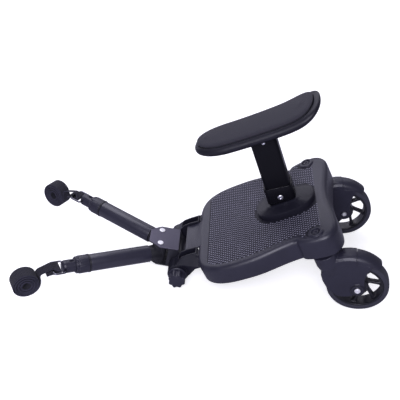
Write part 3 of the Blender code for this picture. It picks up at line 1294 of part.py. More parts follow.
def build_post(post):
    """Rounded rectangular tube, drilled across for both bolts."""
    outline = rounded_rectangle(POST_LENGTH, POST_DEPTH, POST_CORNER)
    tube = finished("seat_post", flat_solid("seat_post", outline, POST_BOTTOM, POST_TOP), post, POST_COAT)
    wall = 2 * POST_WALL
    bore = rounded_rectangle(POST_LENGTH - wall, POST_DEPTH - wall, POST_CORNER - POST_WALL)
    combine(tube, flat_solid("bore", bore, POST_BOTTOM - MM, POST_TOP + MM))
    bolts = (("base", POST_BOLT_RADIUS, POST_BOLT_Z), ("seat", SEAT_BOLT_RADIUS, SEAT_BOLT_Z))
    for label, radius, height in bolts:
        ends = ((0, -POST_DEPTH, height), (0, POST_DEPTH, height))
        combine(tube, rod(f"{label}_bolt_bore", radius + SEAT_GAP, *ends, SCREW_STEPS))
    face = POST_DEPTH / 2 + SEAT_GAP + SLEEVE_WALL + SEAT_GAP
    cross_bolt("post_bolt", post, POST_BOLT_RADIUS, POST_BOLT_HEAD, face, POST_BOLT_Z, face + 4 * MM)
    lock_nut("post_nut", post, POST_BOLT_RADIUS, face, POST_BOLT_Z)
    seat_face = POST_DEPTH / 2 + SEAT_GAP
    tip = seat_face + 2 * MM
    cross_bolt("seat_bolt", post, SEAT_BOLT_RADIUS, POST_BOLT_HEAD - MM, seat_face, SEAT_BOLT_Z, tip)


def cross_bolt(name, post, radius, head, face, height, tip):
    """Button-head bolt across the post; its head is on the left side."""
    profile = [(0, face + 3 * MM), (0.6 * head, face + 2.7 * MM), (head, face + MM), (head, face),
               (radius, face), (radius, -tip), (0, -tip)]
    return finished(name, turned(name, profile, (0, 0, height), (0, -1, 0), SCREW_STEPS), post, STEEL)


def lock_nut(name, post, radius, face, height):
    """Hexagon nut on a cross bolt's right end."""
    hexagon = [(x, height + z) for x, z in arc((0, 0), radius + 2.8 * MM, 30, 330, 5)]
    nut = finished(name, flat_solid(name, hexagon, face, face + 4 * MM, upright=True), post, STEEL)
    combine(nut, rod("bore", radius + SEAT_GAP, (0, 0, height), (0, 2 * face, height), SCREW_STEPS))


def seat_outline():
    """Saddle outline from the middle of its rear end, counter-clockwise: X, Y pairs."""
    rear_x = SEAT_REAR_X - SEAT_REAR_ROUND
    front_x = SEAT_FRONT_X + SEAT_FRONT_ROUND
    half = []
    for angle in np.linspace(0, math.pi / 2, 7):
        half.append((rear_x + SEAT_REAR_ROUND * math.cos(angle) ** 0.8,
                     SEAT_REAR_HALF_WIDTH * math.sin(angle) ** 0.8))
    for share in (1 / 3, 2 / 3):
        half.append((rear_x + (front_x - rear_x) * share,
                     SEAT_REAR_HALF_WIDTH + (SEAT_FRONT_HALF_WIDTH - SEAT_REAR_HALF_WIDTH) * share))
    for angle in np.linspace(math.pi / 2, 0, 8):
        half.append((front_x - SEAT_FRONT_ROUND * math.cos(angle) ** 0.9,
                     SEAT_FRONT_HALF_WIDTH * math.sin(angle) ** 0.9))
    return half + [(x, -y) for x, y in half[-2:0:-1]]


def seat_top(x):
    """Height of the saddle's top line: lowest over the post, with a raised nose and tail."""
    nose = np.clip((SEAT_LOW_X - x) / (SEAT_LOW_X - SEAT_FRONT_X), 0, 1) ** 2 * SEAT_NOSE_RISE
    tail = np.clip((x - SEAT_LOW_X) / (SEAT_REAR_X - SEAT_LOW_X), 0, 1) ** 2.5 * (SEAT_TAIL_RISE + 3 * MM)
    return SEAT_HEIGHT + nose + tail


def seat_ring(inset, rise):
    """The saddle's outline drawn in by inset, at its top line plus rise."""
    outline = np.array(seat_outline())
    middle = (SEAT_FRONT_X + SEAT_REAR_X) / 2
    half_length = (SEAT_REAR_X - SEAT_FRONT_X) / 2
    share = (outline[:, 0] - middle) / half_length
    x = middle + share * (half_length - inset * np.where(share > 0, RIM_REAR_RATIO, 1))
    y = outline[:, 1] * (1 - inset / SEAT_REAR_HALF_WIDTH)
    return np.column_stack([x, y, seat_top(x) + rise])


def build_seat(board, post):
    """Moulded pan with a sloping rim, and the pad that lies in its recess and stands over the rim."""
    rim = -RIM_DROP
    pan = [seat_ring(RIM_WIDTH + 2.5 * MM, -PAD_SINK), seat_ring(RIM_WIDTH + 2 * MM, rim - 0.7 * MM),
           seat_ring(RIM_WIDTH, rim), seat_ring(2 * MM, rim - 4.5 * MM), seat_ring(0, rim - 9 * MM),
           seat_ring(1.5 * MM, rim - 14.5 * MM), seat_ring(8 * MM, -SHELL_DEPTH)]
    shell = finished("seat_shell", loft("seat_shell", pan), board, BLACK_PLASTIC)
    under_x = POST_FOOT_X + math.tan(LEAN) * SEAT_HEIGHT
    low = float(seat_top(np.array(under_x))) - SHELL_DEPTH
    bed = box("bed", (under_x - BRACKET_LENGTH / 2 - MM, -BRACKET_WIDTH / 2 - MM, low - 20 * MM),
              (under_x + BRACKET_LENGTH / 2 + MM, BRACKET_WIDTH / 2 + MM, low + 2 * MM))
    combine(shell, bed)
    edge = RIM_WIDTH + 2.5 * MM + SEAT_GAP
    pad = [seat_ring(edge + 0.5 * MM, -PAD_SINK + SEAT_GAP), seat_ring(edge, rim - 0.5 * MM),
           seat_ring(RIM_WIDTH + 0.6 * MM, rim + 2.2 * MM), seat_ring(RIM_WIDTH + MM, -1.5 * MM),
           seat_ring(RIM_WIDTH + 3.5 * MM, 0.3 * MM), seat_ring(RIM_WIDTH + 9 * MM, 0.6 * PAD_CROWN),
           seat_ring(RIM_WIDTH + 19 * MM, PAD_CROWN)]
    finished("seat_pad", loft("seat_pad", pad), board, PAD_FABRIC)
    build_bracket(board, post, under_x, low)


def build_bracket(board, post, under_x, low):
    """Plate under the pan with a spigot that fills the post's head."""
    top = low + 2 * MM - SEAT_GAP
    outline = [(under_x + x, y) for x, y in rounded_rectangle(BRACKET_LENGTH, BRACKET_WIDTH, POST_CORNER)]
    plate = flat_solid("seat_bracket", outline, top - BRACKET_PLATE, top)
    bracket = finished("seat_bracket", plate, board, DARK_PLASTIC)
    lean = Matrix.Translation((POST_FOOT_X, 0, 0)) @ Matrix.Rotation(LEAN, 4, "Y")
    wall = 2 * (POST_WALL + SEAT_GAP)
    shape = rounded_rectangle(POST_LENGTH - wall, POST_DEPTH - wall, POST_CORNER - POST_WALL)
    spigot = flat_solid("spigot", shape, POST_TOP - BRACKET_SPIGOT, POST_TOP + 4 * MM)
    ends = ((0, -POST_DEPTH, SEAT_BOLT_Z), (0, POST_DEPTH, SEAT_BOLT_Z))
    bore = rod("bolt_bore", SEAT_BOLT_RADIUS + SEAT_GAP, *ends, SCREW_STEPS)
    for mesh, operation in ((spigot, "UNION"), (bore, "DIFFERENCE")):
        mesh.transform(lean)
        combine(bracket, mesh, operation)


def place_on_floor():
    """Where the board frame stands so that the floor is at zero and the length is centred."""
    height = WHEEL_RADIUS + AXLE_BELOW_DECK * math.cos(TILT) - CASTER_TRAIL * math.sin(TILT)
    wheel_x = CASTER_TRAIL * math.cos(TILT) + AXLE_BELOW_DECK * math.sin(TILT)
    rear = wheel_x + WHEEL_RADIUS
    turn = Euler((0, -TILT, 0)).to_matrix()
    hub_turn = Euler((0, HUB_RAISE, 0)).to_matrix()
    yaw = Euler((0, 0, -math.radians(ARM_YAW))).to_matrix()
    roll = Vector((-ring_axis() - RING_LENGTH - ROLL_REACH, 0, -ROLL_DROP))
    in_hub = Vector((-PIN_REACH, PIN_SPREAD, arm_axis_height())) + yaw @ roll
    in_board = Vector((HINGE_X, 0, HINGE_Z)) + hub_turn @ in_hub
    lateral = (turn @ hub_turn @ yaw @ Vector((0, 1, 0))).x
    disc = (ROLL_RADIUS - STRAP_THICKNESS / 2) * math.sqrt(1 - lateral ** 2)
    front = (turn @ in_board).x - disc - STRAP_WIDTH / 2 * abs(lateral)
    return Vector((-(front + rear) / 2, 0, height))


def build():
    clear_scene()
    board = frame_at("board_frame", None, place_on_floor(), (0, -TILT, 0))
    post = frame_at("post_frame", board, (POST_FOOT_X, 0, 0), (0, LEAN, 0))
    hub = frame_at("hub_tilt", board, (HINGE_X, 0, HINGE_Z), (0, HUB_RAISE, 0))
    build_deck(board)
    build_casters(board)
    build_hinge(board)
    build_hub(hub)
    build_arms(hub)
    build_seat_base(board, post)
    build_post(post)
    build_seat(board, post)
    print(f"forward tilt {math.degrees(TILT):.2f} degrees")


build()
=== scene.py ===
# %% [markdown]
# # A ride-on board with a seat
#
# The object is a ride-on board for a child: a textured deck on two swivelling wheels, a small
# saddle on a post, and two telescopic arms that are strapped to a pushchair. Its solids come
# packed from the CAD model. This file dresses them: it builds smooth surfaces over the faceted
# solids with numpy, gives every piece a procedural finish, and sets a camera and soft light.

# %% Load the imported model
import json

import bmesh
import bpy
import numpy as np
from mathutils import Euler, Matrix


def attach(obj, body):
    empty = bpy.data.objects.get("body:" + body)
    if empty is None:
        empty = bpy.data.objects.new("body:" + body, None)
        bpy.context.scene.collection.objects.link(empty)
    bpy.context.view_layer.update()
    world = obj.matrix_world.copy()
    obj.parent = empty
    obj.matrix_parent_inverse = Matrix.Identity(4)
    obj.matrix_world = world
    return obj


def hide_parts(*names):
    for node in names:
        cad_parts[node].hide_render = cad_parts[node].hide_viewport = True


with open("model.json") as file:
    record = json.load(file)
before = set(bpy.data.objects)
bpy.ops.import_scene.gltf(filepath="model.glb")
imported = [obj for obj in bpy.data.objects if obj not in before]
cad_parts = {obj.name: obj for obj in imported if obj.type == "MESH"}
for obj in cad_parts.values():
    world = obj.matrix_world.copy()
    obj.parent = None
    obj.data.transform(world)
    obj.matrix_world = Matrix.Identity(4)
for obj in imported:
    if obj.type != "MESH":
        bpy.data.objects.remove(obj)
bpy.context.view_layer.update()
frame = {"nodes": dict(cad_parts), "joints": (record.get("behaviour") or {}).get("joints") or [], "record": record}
MM = 0.001
SIDES = {"left": -1, "right": 1}

# %% [markdown]
# Every sub-assembly of the real board has a natural frame of its own: the deck's top, the hub
# on its hinge, each arm along its tube, each wheel on its axle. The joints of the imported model
# already hold those places, so the frames are read from the joints and not typed in again.
# Each frame is a 4 by 4 matrix whose columns are X, Y, Z and the origin.

# %% Frames of the sub-assemblies
joints = {joint["name"]: joint for joint in frame["joints"]}


def pose(origin, y_axis, z_axis):
    """Frame from an origin and two axes; X is the cross product of Y and Z."""
    z_axis = np.array(z_axis, float) / np.linalg.norm(z_axis)
    y_axis = np.array(y_axis, float) - z_axis * np.dot(y_axis, z_axis)
    y_axis = y_axis / np.linalg.norm(y_axis)
    made = np.eye(4)
    made[:3] = np.column_stack([np.cross(y_axis, z_axis), y_axis, z_axis, origin])
    return made


def moved(frame_of, x=0.0, y=0.0, z=0.0, tip=0.0):
    """The frame shifted by millimetres along its own axes, then tipped about Y by degrees."""
    shift = Matrix.Translation((x * MM, y * MM, z * MM))
    return frame_of @ np.array(shift @ Matrix.Rotation(np.radians(tip), 4, "Y"))


SWIVEL_DROP, POST_X, POST_LEAN = 52.2, -59.5, 6.3
deck_normal = np.array(joints["caster_swivel_right"]["axis"])
swivels = [np.array(joints[f"caster_swivel_{side}"]["pos_m"]) for side in SIDES]
BOARD = pose(sum(swivels) / 2 + SWIVEL_DROP * MM * deck_normal, (0, 1, 0), deck_normal)
POST = moved(BOARD, x=POST_X, tip=POST_LEAN)
HUB = pose(joints["hub_tilt"]["pos_m"], (0, 1, 0), joints["arm_swing_left"]["axis"])
KNOB = pose(joints["knob_turn"]["pos_m"], (0, 1, 0), deck_normal)
ARM, RING, STRAP, WHEEL = {}, {}, {}, {}
for side in SIDES:
    across = joints[f"ring_pivot_{side}"]["axis"]
    up = joints[f"arm_swing_{side}"]["axis"]
    ARM[side] = pose(joints[f"arm_swing_{side}"]["pos_m"], across, up)
    RING[side] = pose(joints[f"ring_pivot_{side}"]["pos_m"], across, up)
    STRAP[side] = pose(joints[f"strap_pivot_{side}"]["pos_m"], across, up)
    spin = joints[f"wheel_spin_{side}"]
    WHEEL[side] = pose(spin["pos_m"], spin["axis"], deck_normal)
print("deck's frame", np.round(BOARD, 4).tolist())

# %% [markdown]
# A smooth part is a grid of points: rings of points, joined ring to ring by four-sided faces
# and closed at both ends. Working on whole arrays keeps this quick, and the same few makers
# serve for every piece: turned parts, plates with rounded rims, and sections carried along a
# path. A maker returns a shell, which is its points and its faces. Shells are in millimetres, in
# the frame of their sub-assembly, so that a size can be read off like on a drawing.

# %% Shells from grids of points


def grid_shell(points, wrap=False, caps=True):
    """Shell of rings: point (i, j) joins (i, j+1) and (i+1, j); j always wraps round.

    With wrap the last ring joins the first. Otherwise each end ring is filled, if caps is true.
    """
    rows, cols = points.shape[:2]
    i, j = np.meshgrid(np.arange(rows if wrap else rows - 1), np.arange(cols), indexing="ij")
    k, m = (i + 1) % rows, (j + 1) % cols
    faces = np.stack([i * cols + j, i * cols + m, k * cols + m, k * cols + j], -1)
    faces = faces.reshape(-1, 4).tolist()
    if caps and not wrap:
        faces += [list(range(cols))[::-1], list(range((rows - 1) * cols, rows * cols))]
    return points.reshape(-1, 3), faces


def eased(corners, radius, steps=6, closed=True):
    """A polygon with its corners eased into curves.

    Each curve runs from A, before the corner C, to B, after it: (1-t)^2 A + 2t(1-t) C + t^2 B.
    A and B lie radius from C, or 0.49 of the shorter side where that is less. An open line
    keeps its ends.
    """
    corners = np.asarray(corners, float)
    before = np.roll(corners, 1, axis=0) - corners
    after = np.roll(corners, -1, axis=0) - corners
    reach = np.broadcast_to(np.asarray(radius, float), len(corners)).copy()
    if not closed:
        reach[[0, -1]] = 0
    long_before = np.maximum(np.linalg.norm(before, axis=1), 1e-9)
    long_after = np.maximum(np.linalg.norm(after, axis=1), 1e-9)
    reach = np.minimum(reach, 0.49 * np.minimum(long_before, long_after))
    if not closed:
        reach[[0, -1]] = 0
    start = corners + before * (reach / long_before)[:, None]
    end = corners + after * (reach / long_after)[:, None]
    t = np.linspace(0, 1, steps + 1)[None, :, None]
    curve = (1 - t) ** 2 * start[:, None] + 2 * t * (1 - t) * corners[:, None] + t**2 * end[:, None]
    curve = curve.reshape(-1, corners.shape[1])
    keep = np.linalg.norm(np.diff(curve, axis=0, prepend=curve[:1] - 1), axis=1) > 1e-7
    return curve[keep]


def turned(profile, axis="y", steps=48, closed=False, ease=0.0, ease_steps=3):
    """Solid of revolution of (radius, height) pairs about a frame axis through the origin.

    Point (i, j) has the profile's radius i at the angle j, and its height along the axis. With
    ease, the profile's corners are eased first. A closed profile is a section beside the axis.
    """
    if ease:
        profile = eased(profile, ease, ease_steps, closed)
    profile = np.asarray(profile, float)
    angle = np.radians(np.linspace(0, 360, steps + 1))[:-1]
    radius, height = profile[:, :1], profile[:, 1:] + 0 * angle
    a, b = radius * np.cos(angle), radius * np.sin(angle)
    order = {"x": (height, a, b), "y": (a, height, b), "z": (a, b, height)}[axis]
    return grid_shell(np.stack(order, -1), wrap=closed)


def drawn_in(outline, inset):
    """Outlines drawn in by each inset: vertices move along their mitred inward normals."""
    outline = np.asarray(outline, float)
    ahead = np.roll(outline, -1, axis=0) - outline
    ahead /= np.linalg.norm(ahead, axis=1)[:, None]
    normal = np.column_stack([-ahead[:, 1], ahead[:, 0]])
    mean = normal + np.roll(normal, 1, axis=0)
    mitre = 2 * mean / np.maximum((mean**2).sum(1), 0.6)[:, None]
    return outline[None] + mitre[None] * np.reshape(inset, (-1, 1, 1))


def counter_clockwise(outline):
    """The outline, turned round if its signed area, half the sum of cross products, is negative."""
    outline = np.asarray(outline, float)
    ahead = np.roll(outline, -1, axis=0)
    area = (outline[:, 0] * ahead[:, 1] - outline[:, 1] * ahead[:, 0]).sum()
    return outline if area > 0 else outline[::-1]


def slab(outline, low, high, rim=0.8, upright=False, steps=4):
    """Plate of an outline's shape whose rims are rounded by quarter circles.

    Ring k is drawn in by rim (1 - sin a) and stands rim (1 - cos a) inside its face. The plate
    is thick along Z, or along Y if it stands upright.
    """
    outline = counter_clockwise(outline)
    a = np.linspace(0, np.pi / 2, steps + 1)
    inset, step = rim * (1 - np.sin(a)), rim * (1 - np.cos(a))
    level = np.concatenate([low + step, (high - step)[::-1]])
    flat = drawn_in(outline, np.concatenate([inset, inset[::-1]]))
    level = np.broadcast_to(level[:, None], flat.shape[:2])
    order = (flat[..., 0], level, flat[..., 1]) if upright else (flat[..., 0], flat[..., 1], level)
    return grid_shell(np.stack(order, -1))


def carried(path, normal, across, section, closed=False):
    """A section carried along a path.

    Point (i, j) is path i + normal i times the section's first number + across i times its second.
    """
    section = np.asarray(section, float)
    outwards = normal[:, None] * section[None, :, :1]
    sideways = across[:, None] * section[None, :, 1:]
    return grid_shell(path[:, None] + outwards + sideways, wrap=closed)


def circle(radius, steps=16):
    """Points of a circle about the origin."""
    angle = 2 * np.pi * np.arange(steps) / steps
    return radius * np.column_stack([np.cos(angle), np.sin(angle)])


def arc_points(centre, radius, first, last, steps):
    """Points of a circle between two angles in degrees."""
    angle = np.radians(np.linspace(first, last, steps + 1))
    return np.asarray(centre) + radius * np.column_stack([np.cos(angle), np.sin(angle)])


def round_rectangle(length, width, corner, steps=8):
    """Counter-clockwise rectangle about the origin with true quarter-circle corners."""
    angle = np.radians(np.linspace(0, 90, steps + 1))
    quarter = np.arange(4)[:, None] * np.pi / 2 + angle
    sign = np.array([[1, 1], [-1, 1], [-1, -1], [1, -1]])
    centre = sign * [length / 2 - corner, width / 2 - corner]
    return (centre[:, None] + corner * np.stack([np.cos(quarter), np.sin(quarter)], -1)).reshape(-1, 2)


def oblong(x_low, x_high, y_low, y_high):
    """Corners of a rectangle from its four sides."""
    return [(x_low, y_low), (x_high, y_low), (x_high, y_high), (x_low, y_high)]


def sent(shell, at):
    """A shell moved by a frame matrix, whose place is in metres."""
    points, faces = shell
    return points @ at[:3, :3].T + at[:3, 3] / MM, faces


# %% [markdown]
# Shells become a piece when they are joined into one mesh in metres, welded, and turned to face
# outwards. The piece then rides on its CAD body and hides the CAD node that it replaces, so that
# a pose reaches it too.

# %% From shells to a piece
bodies = frame["record"]["behaviour"]["bodies"]
body_of = {node: body for body, nodes in bodies.items() for node in nodes}
WELD = 2e-6


def piece(name, shells, at, material, nodes=(), body=None, smooth=38, weld=True):
    """One object from shells in the frame at, riding on the body of the CAD nodes it replaces."""
    points, faces, count = [], [], 0
    for shell_points, shell_faces in shells:
        points.append(shell_points)
        faces += [[index + count for index in face] for face in shell_faces]
        count += len(shell_points)
    world = np.concatenate(points) * MM @ at[:3, :3].T + at[:3, 3]
    mesh = bpy.data.meshes.new(name)
    mesh.from_pydata(world.tolist(), [], faces)
    if weld:
        bm = bmesh.new()
        bm.from_mesh(mesh)
        bmesh.ops.remove_doubles(bm, verts=bm.verts, dist=WELD)
        bmesh.ops.recalc_face_normals(bm, faces=bm.faces)
        bm.to_mesh(mesh)
        bm.free()
    mesh.shade_smooth()
    mesh.set_sharp_from_angle(angle=np.radians(smooth))
    mesh.materials.append(material)
    made = bpy.data.objects.new(name, mesh)
    bpy.context.scene.collection.objects.link(made)
    nodes = [nodes] if isinstance(nodes, str) else list(nodes)
    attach(made, body or body_of[nodes[0]])
    if nodes:
        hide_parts(*nodes)
    print(f"{name}: {len(mesh.polygons)} faces")
    return made


# %% [markdown]
# Mouldings such as the wheel fork are blends of many shapes, with soft fillets wherever walls
# meet. The quickest honest way there is to start from the CAD solid itself: a copy is welded,
# turned into a fine even grid of small faces, and smoothed a little. The smoothing draws every
# edge into a radius of about the grid's size, as a mould does.

# %% Soft-edged copies of CAD mouldings


def soften(made, grain, passes):
    """Remeshes a piece with faces of about the grain in mm, smooths it, and keeps the result."""
    material = made.data.materials[0]
    remesh = made.modifiers.new("even_grid", "REMESH")
    remesh.mode = "VOXEL"
    remesh.voxel_size = grain * MM
    smoothing = made.modifiers.new("soften", "SMOOTH")
    smoothing.factor = 0.5
    smoothing.iterations = passes
    bpy.context.view_layer.update()
    graph = bpy.context.evaluated_depsgraph_get()
    done = bpy.data.meshes.new_from_object(made.evaluated_get(graph))
    made.modifiers.clear()
    made.data = done
    done.materials.clear()
    done.materials.append(material)
    done.shade_smooth()
    print(f"{made.name}: {len(done.polygons)} faces after softening")


def moulding(name, node, material, grain=0.8, passes=6):
    """A soft-edged copy of a CAD node, welded first because its triangles are loose."""
    mesh = frame["nodes"][node].data.copy()
    bm = bmesh.new()
    bm.from_mesh(mesh)
    bmesh.ops.remove_doubles(bm, verts=bm.verts, dist=WELD)
    bm.to_mesh(mesh)
    bm.free()
    mesh.materials.clear()
    mesh.materials.append(material)
    made = bpy.data.objects.new(name, mesh)
    bpy.context.scene.collection.objects.link(made)
    soften(made, grain, passes)
    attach(made, body_of[node])
    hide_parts(node)
    return made


# %% [markdown]
# Finishes are written as shader arithmetic. `Value` wraps one socket, so that a pattern reads
# like a formula; `Finish` starts from the Principled shader, sets its plain numbers on its own
# sockets, and adds any other node through one method.

# %% Shader arithmetic


class Value:
    """A number or vector that changes over the surface: one output socket of a finish."""

    def __init__(self, finish, socket):
        self.finish, self.socket = finish, socket

    def _with(self, operation, *others):
        return self.finish.node("ShaderNodeMath", {"operation": operation}, *others)

    def __add__(self, other):
        return self._with("ADD", self, other)

    def __sub__(self, other):
        return self._with("SUBTRACT", self, other)

    def __rsub__(self, other):
        return self._with("SUBTRACT", other, self)

    def __mul__(self, other):
        return self._with("MULTIPLY", self, other)

    def __truediv__(self, other):
        return self._with("DIVIDE", self, other)

    def sine(self):
        return self._with("SINE", self)

    def size(self):
        return self._with("ABSOLUTE", self)

    def capped(self):
        """The value held between 0 and 1."""
        return self.finish.node("ShaderNodeClamp", {}, self, 0.0, 1.0)

    def part(self, axis):
        """One coordinate of a vector."""
        split = self.finish.node("ShaderNodeSeparateXYZ", {}, self)
        return Value(self.finish, split.socket.node.outputs["XYZ".index(axis)])

    __radd__ = __add__
    __rmul__ = __mul__


class Finish:
    """A material: a Principled shader with set numbers, and patterns that feed it."""

    def __init__(self, name, colour, roughness, **numbers):
        self.material = bpy.data.materials.new(name)
        self.material.use_nodes = True
        self.tree = self.material.node_tree
        self.shader = self.tree.nodes["Principled BSDF"]
        self.shader.inputs["Base Color"].default_value = (*colour, 1)
        self.shader.inputs["Roughness"].default_value = roughness
        for socket, number in numbers.items():
            self.shader.inputs[socket.replace("_", " ")].default_value = number
        self.colour = colour

    def node(self, kind, settings, *values):
        """Adds a node, sets its settings, then its input sockets in their order."""
        made = self.tree.nodes.new(kind)
        for setting, choice in settings.items():
            setattr(made, setting, choice)
        shown = [socket for socket in made.inputs if socket.enabled]
        for socket, value in zip(shown, values):
            if isinstance(value, Value):
                self.tree.links.new(value.socket, socket)
            elif value is not None:
                socket.default_value = value
        return Value(self, next(socket for socket in made.outputs if socket.enabled))

    def place(self):
        """Object coordinates, in metres: a finished piece has its place in its mesh."""
        return Value(self, self.tree.nodes.new("ShaderNodeTexCoord").outputs["Object"])

    def along(self, layer):
        """The piece's own UV map, in metres along and across."""
        return self.node("ShaderNodeUVMap", {"uv_map": layer})

    def noise(self, scale, detail=3.0, where=None):
        """Cloudy noise with features of about 1 / scale metres, from 0 to 1."""
        return self.node("ShaderNodeTexNoise", {}, where or self.place(), scale, detail)

    def cells(self, scale):
        """Distance to the nearest of many scattered points, for a leathery grain."""
        return self.node("ShaderNodeTexVoronoi", {}, self.place(), scale)

    def tint(self, amount, dark, light):
        """Base Color between two colours."""
        made = self.node("ShaderNodeMix", {"data_type": "RGBA"}, amount, (*dark, 1), (*light, 1))
        self.tree.links.new(made.socket, self.shader.inputs["Base Color"])

    def gloss(self, value):
        self.tree.links.new(value.socket, self.shader.inputs["Roughness"])

    def relief(self, height, depth, distance=MM):
        """Bump of the height pattern, whose white stands distance above its black."""
        bump = self.tree.nodes.new("ShaderNodeBump")
        bump.inputs["Strength"].default_value = depth
        bump.inputs["Distance"].default_value = distance
        self.tree.links.new(height.socket, bump.inputs["Height"])
        self.tree.links.new(bump.outputs["Normal"], self.shader.inputs["Normal"])


# %% [markdown]
# Nearly all of the board is one kind of plastic: injection-moulded, black with a cool cast, and
# spark-eroded to a fine satin grain that scatters light into a soft grey sheen. The grain is a
# cell pattern of about 0.5 mm with finer noise on it, and slow noise varies the gloss, as
# handling does. Glossier black parts, such as the wheel centres and the post's sleeve, have the
# same recipe with less grain.

# %% Moulded plastics


def moulded(name, colour, roughness, grain, light=1.35, spread=0.07, level=0.5):
    """A moulded plastic whose colour, gloss and grain vary gently."""
    made = Finish(name, colour, roughness, Specular_IOR_Level=level)
    clouds = made.noise(38.0, 4.0)
    dark = tuple(0.88 * c for c in colour)
    made.tint(clouds, dark, tuple(light * c for c in colour))
    made.gloss(clouds * (2 * spread) + (roughness - spread))
    made.relief(made.cells(2100.0) + made.noise(5200.0, 2.0) * 0.5, grain, 0.12 * MM)
    return made.material


BLACK = moulded("moulded_black", (0.017, 0.0165, 0.029), 0.38, 0.5)
# The tread's ground: duller than the deck's black, which is its real matt finish, and darker, which is painted
# shade.
GROUND_PAINTED_SHADE = moulded("tread_ground_painted_shade", (0.010, 0.0098, 0.017), 0.55, 0.8, level=0.25)
# The grip dots are the deck's black plastic coloured far lighter: a painted highlight on every dot.
GRIP_PAINTED_HIGHLIGHT = moulded("grip_painted_highlight", (0.155, 0.152, 0.20), 0.40, 0.3)
BASE_BLACK = moulded("base_black", (0.009, 0.0088, 0.015), 0.34, 0.4, level=0.28)
PAN_BLACK = moulded("saddle_black", (0.010, 0.0098, 0.016), 0.38, 0.5, level=0.25)
SLEEVE_BLACK = moulded("sleeve_black", (0.004, 0.0039, 0.006), 0.26, 0.15, level=0.18)
GLOSSY = moulded("glossy_black", (0.008, 0.008, 0.012), 0.33, 0.2)
NYLON = moulded("dark_nylon", (0.012, 0.012, 0.016), 0.42, 0.3)
print("plastics", BLACK.name, GRIP_PAINTED_HIGHLIGHT.name, GLOSSY.name, NYLON.name)

# %% [markdown]
# The metal parts are of three kinds. The tubes and the post carry powder coat, which sets with
# a faint orange-peel skin. The hub's plate is dark, satin and brushed. The screws, rivets and
# rings are bright plated steel. The wheel bolts' heads and the arms' rivets are zinc plate with a
# near-white colour that is mostly diffuse, so part of their brightness is a painted glint.

# %% Metals and coats


def coated(name, colour, roughness, peel=0.35, coat=0.25, level=0.5):
    """Powder coat: a smooth coat over metal with low, wide orange-peel waves."""
    made = Finish(name, colour, roughness, Coat_Weight=coat, Coat_Roughness=0.3,
                  Specular_IOR_Level=level)
    clouds = made.noise(55.0, 3.0)
    made.tint(clouds, tuple(0.9 * c for c in colour), tuple(1.25 * c for c in colour))
    made.gloss(clouds * 0.1 + (roughness - 0.05))
    made.relief(made.noise(900.0, 2.0), peel, 0.12 * MM)
    return made.material


def plated(name, colour, roughness, brushed, metallic=1.0):
    """Bare or plated metal, with noise drawn out along one direction for brushing marks."""
    made = Finish(name, colour, roughness, Metallic=metallic)
    stretched = made.node("ShaderNodeMapping", {}, made.place(), (0, 0, 0), (0, 0, 0), (0.05, 1, 1))
    marks = made.noise(2600.0, 3.0, stretched)
    made.tint(marks, tuple(0.82 * c for c in colour), tuple(min(1.15 * c, 1) for c in colour))
    made.gloss(marks * 0.16 + (roughness - 0.08))
    made.relief(marks, brushed, 0.05 * MM)
    return made.material


TUBE_COAT = coated("tube_powder_coat", (0.022, 0.0215, 0.036), 0.33)
POST_COAT = coated("post_powder_coat", (0.004, 0.004, 0.006), 0.3, 0.3, 0.0, 0.14)
CHANNEL_COAT = coated("channel_powder_coat", (0.014, 0.014, 0.020), 0.42)
PLATE = plated("satin_plate", (0.125, 0.119, 0.155), 0.5, 0.25)
STEEL = plated("bright_steel", (0.70, 0.70, 0.74), 0.3, 0.1)
DARK_STEEL = plated("blackened_steel", (0.16, 0.16, 0.19), 0.28, 0.1)
# Bolt heads and rivets: a zinc plate whose near-white colour is mostly diffuse, so part of their brightness is a
# painted glint.
ZINC_PAINTED_GLINT = plated("zinc_painted_glint", (0.88, 0.88, 0.92), 0.38, 0.1, 0.3)
print("metals", TUBE_COAT.name, POST_COAT.name, CHANNEL_COAT.name, PLATE.name, STEEL.name)

# %% [markdown]
# Rubber scatters light more than plastic, and a little dust pales it. The strap is a herringbone
# webbing, so its weave has to follow the strap round every turn of the roll: its pattern reads
# the strap's own UV map, in metres. The saddle's pad is foam under a fine plain-weave cloth,
# which is small enough to be worked out from the piece's place alone.

# %% Rubber and cloth


def rubber(name, colour):
    """Solid rubber: dusty, matt, with a fine moulded skin."""
    made = Finish(name, colour, 0.62, Specular_IOR_Level=0.45)
    dust = made.noise(70.0, 5.0)
    made.tint(dust, tuple(0.8 * c for c in colour), tuple(1.5 * c for c in colour))
    made.gloss(dust * 0.16 + 0.52)
    made.relief(made.noise(3400.0, 3.0), 0.35, 0.1 * MM)
    return made.material


def webbing(name, colour):
    """Herringbone webbing: ribs 3 mm apart that lean one way, then the other, across it, and a painted highlight
    along both edges.
    """
    made = Finish(name, colour, 0.8, Specular_IOR_Level=0.35, Sheen_Weight=0.05, Sheen_Roughness=0.5)
    flat = made.along("weave")
    run, side = flat.part("X"), flat.part("Y")
    turn = 2 * np.pi / (3.0 * MM)
    lean = (side * (np.pi / (7.5 * MM))).sine().size()
    ribs = (run * turn + lean * 7.0).sine() * 0.5 + 0.5
    threads = (side * (2 * np.pi / (0.9 * MM))).sine() * 0.5 + 0.5
    # The band's two edges are painted lighter: a painted highlight where the turns of the roll catch the light.
    edge = ((side.size() - 13.9 * MM) / (0.5 * MM)).capped()
    weave = (ribs * (threads * 0.4 + 0.6) * 0.8 + edge * 0.55).capped()
    made.tint(weave, tuple(0.2 * c for c in colour), tuple(2.8 * c for c in colour))
    made.relief(weave, 0.9, 0.7 * MM)
    return made.material


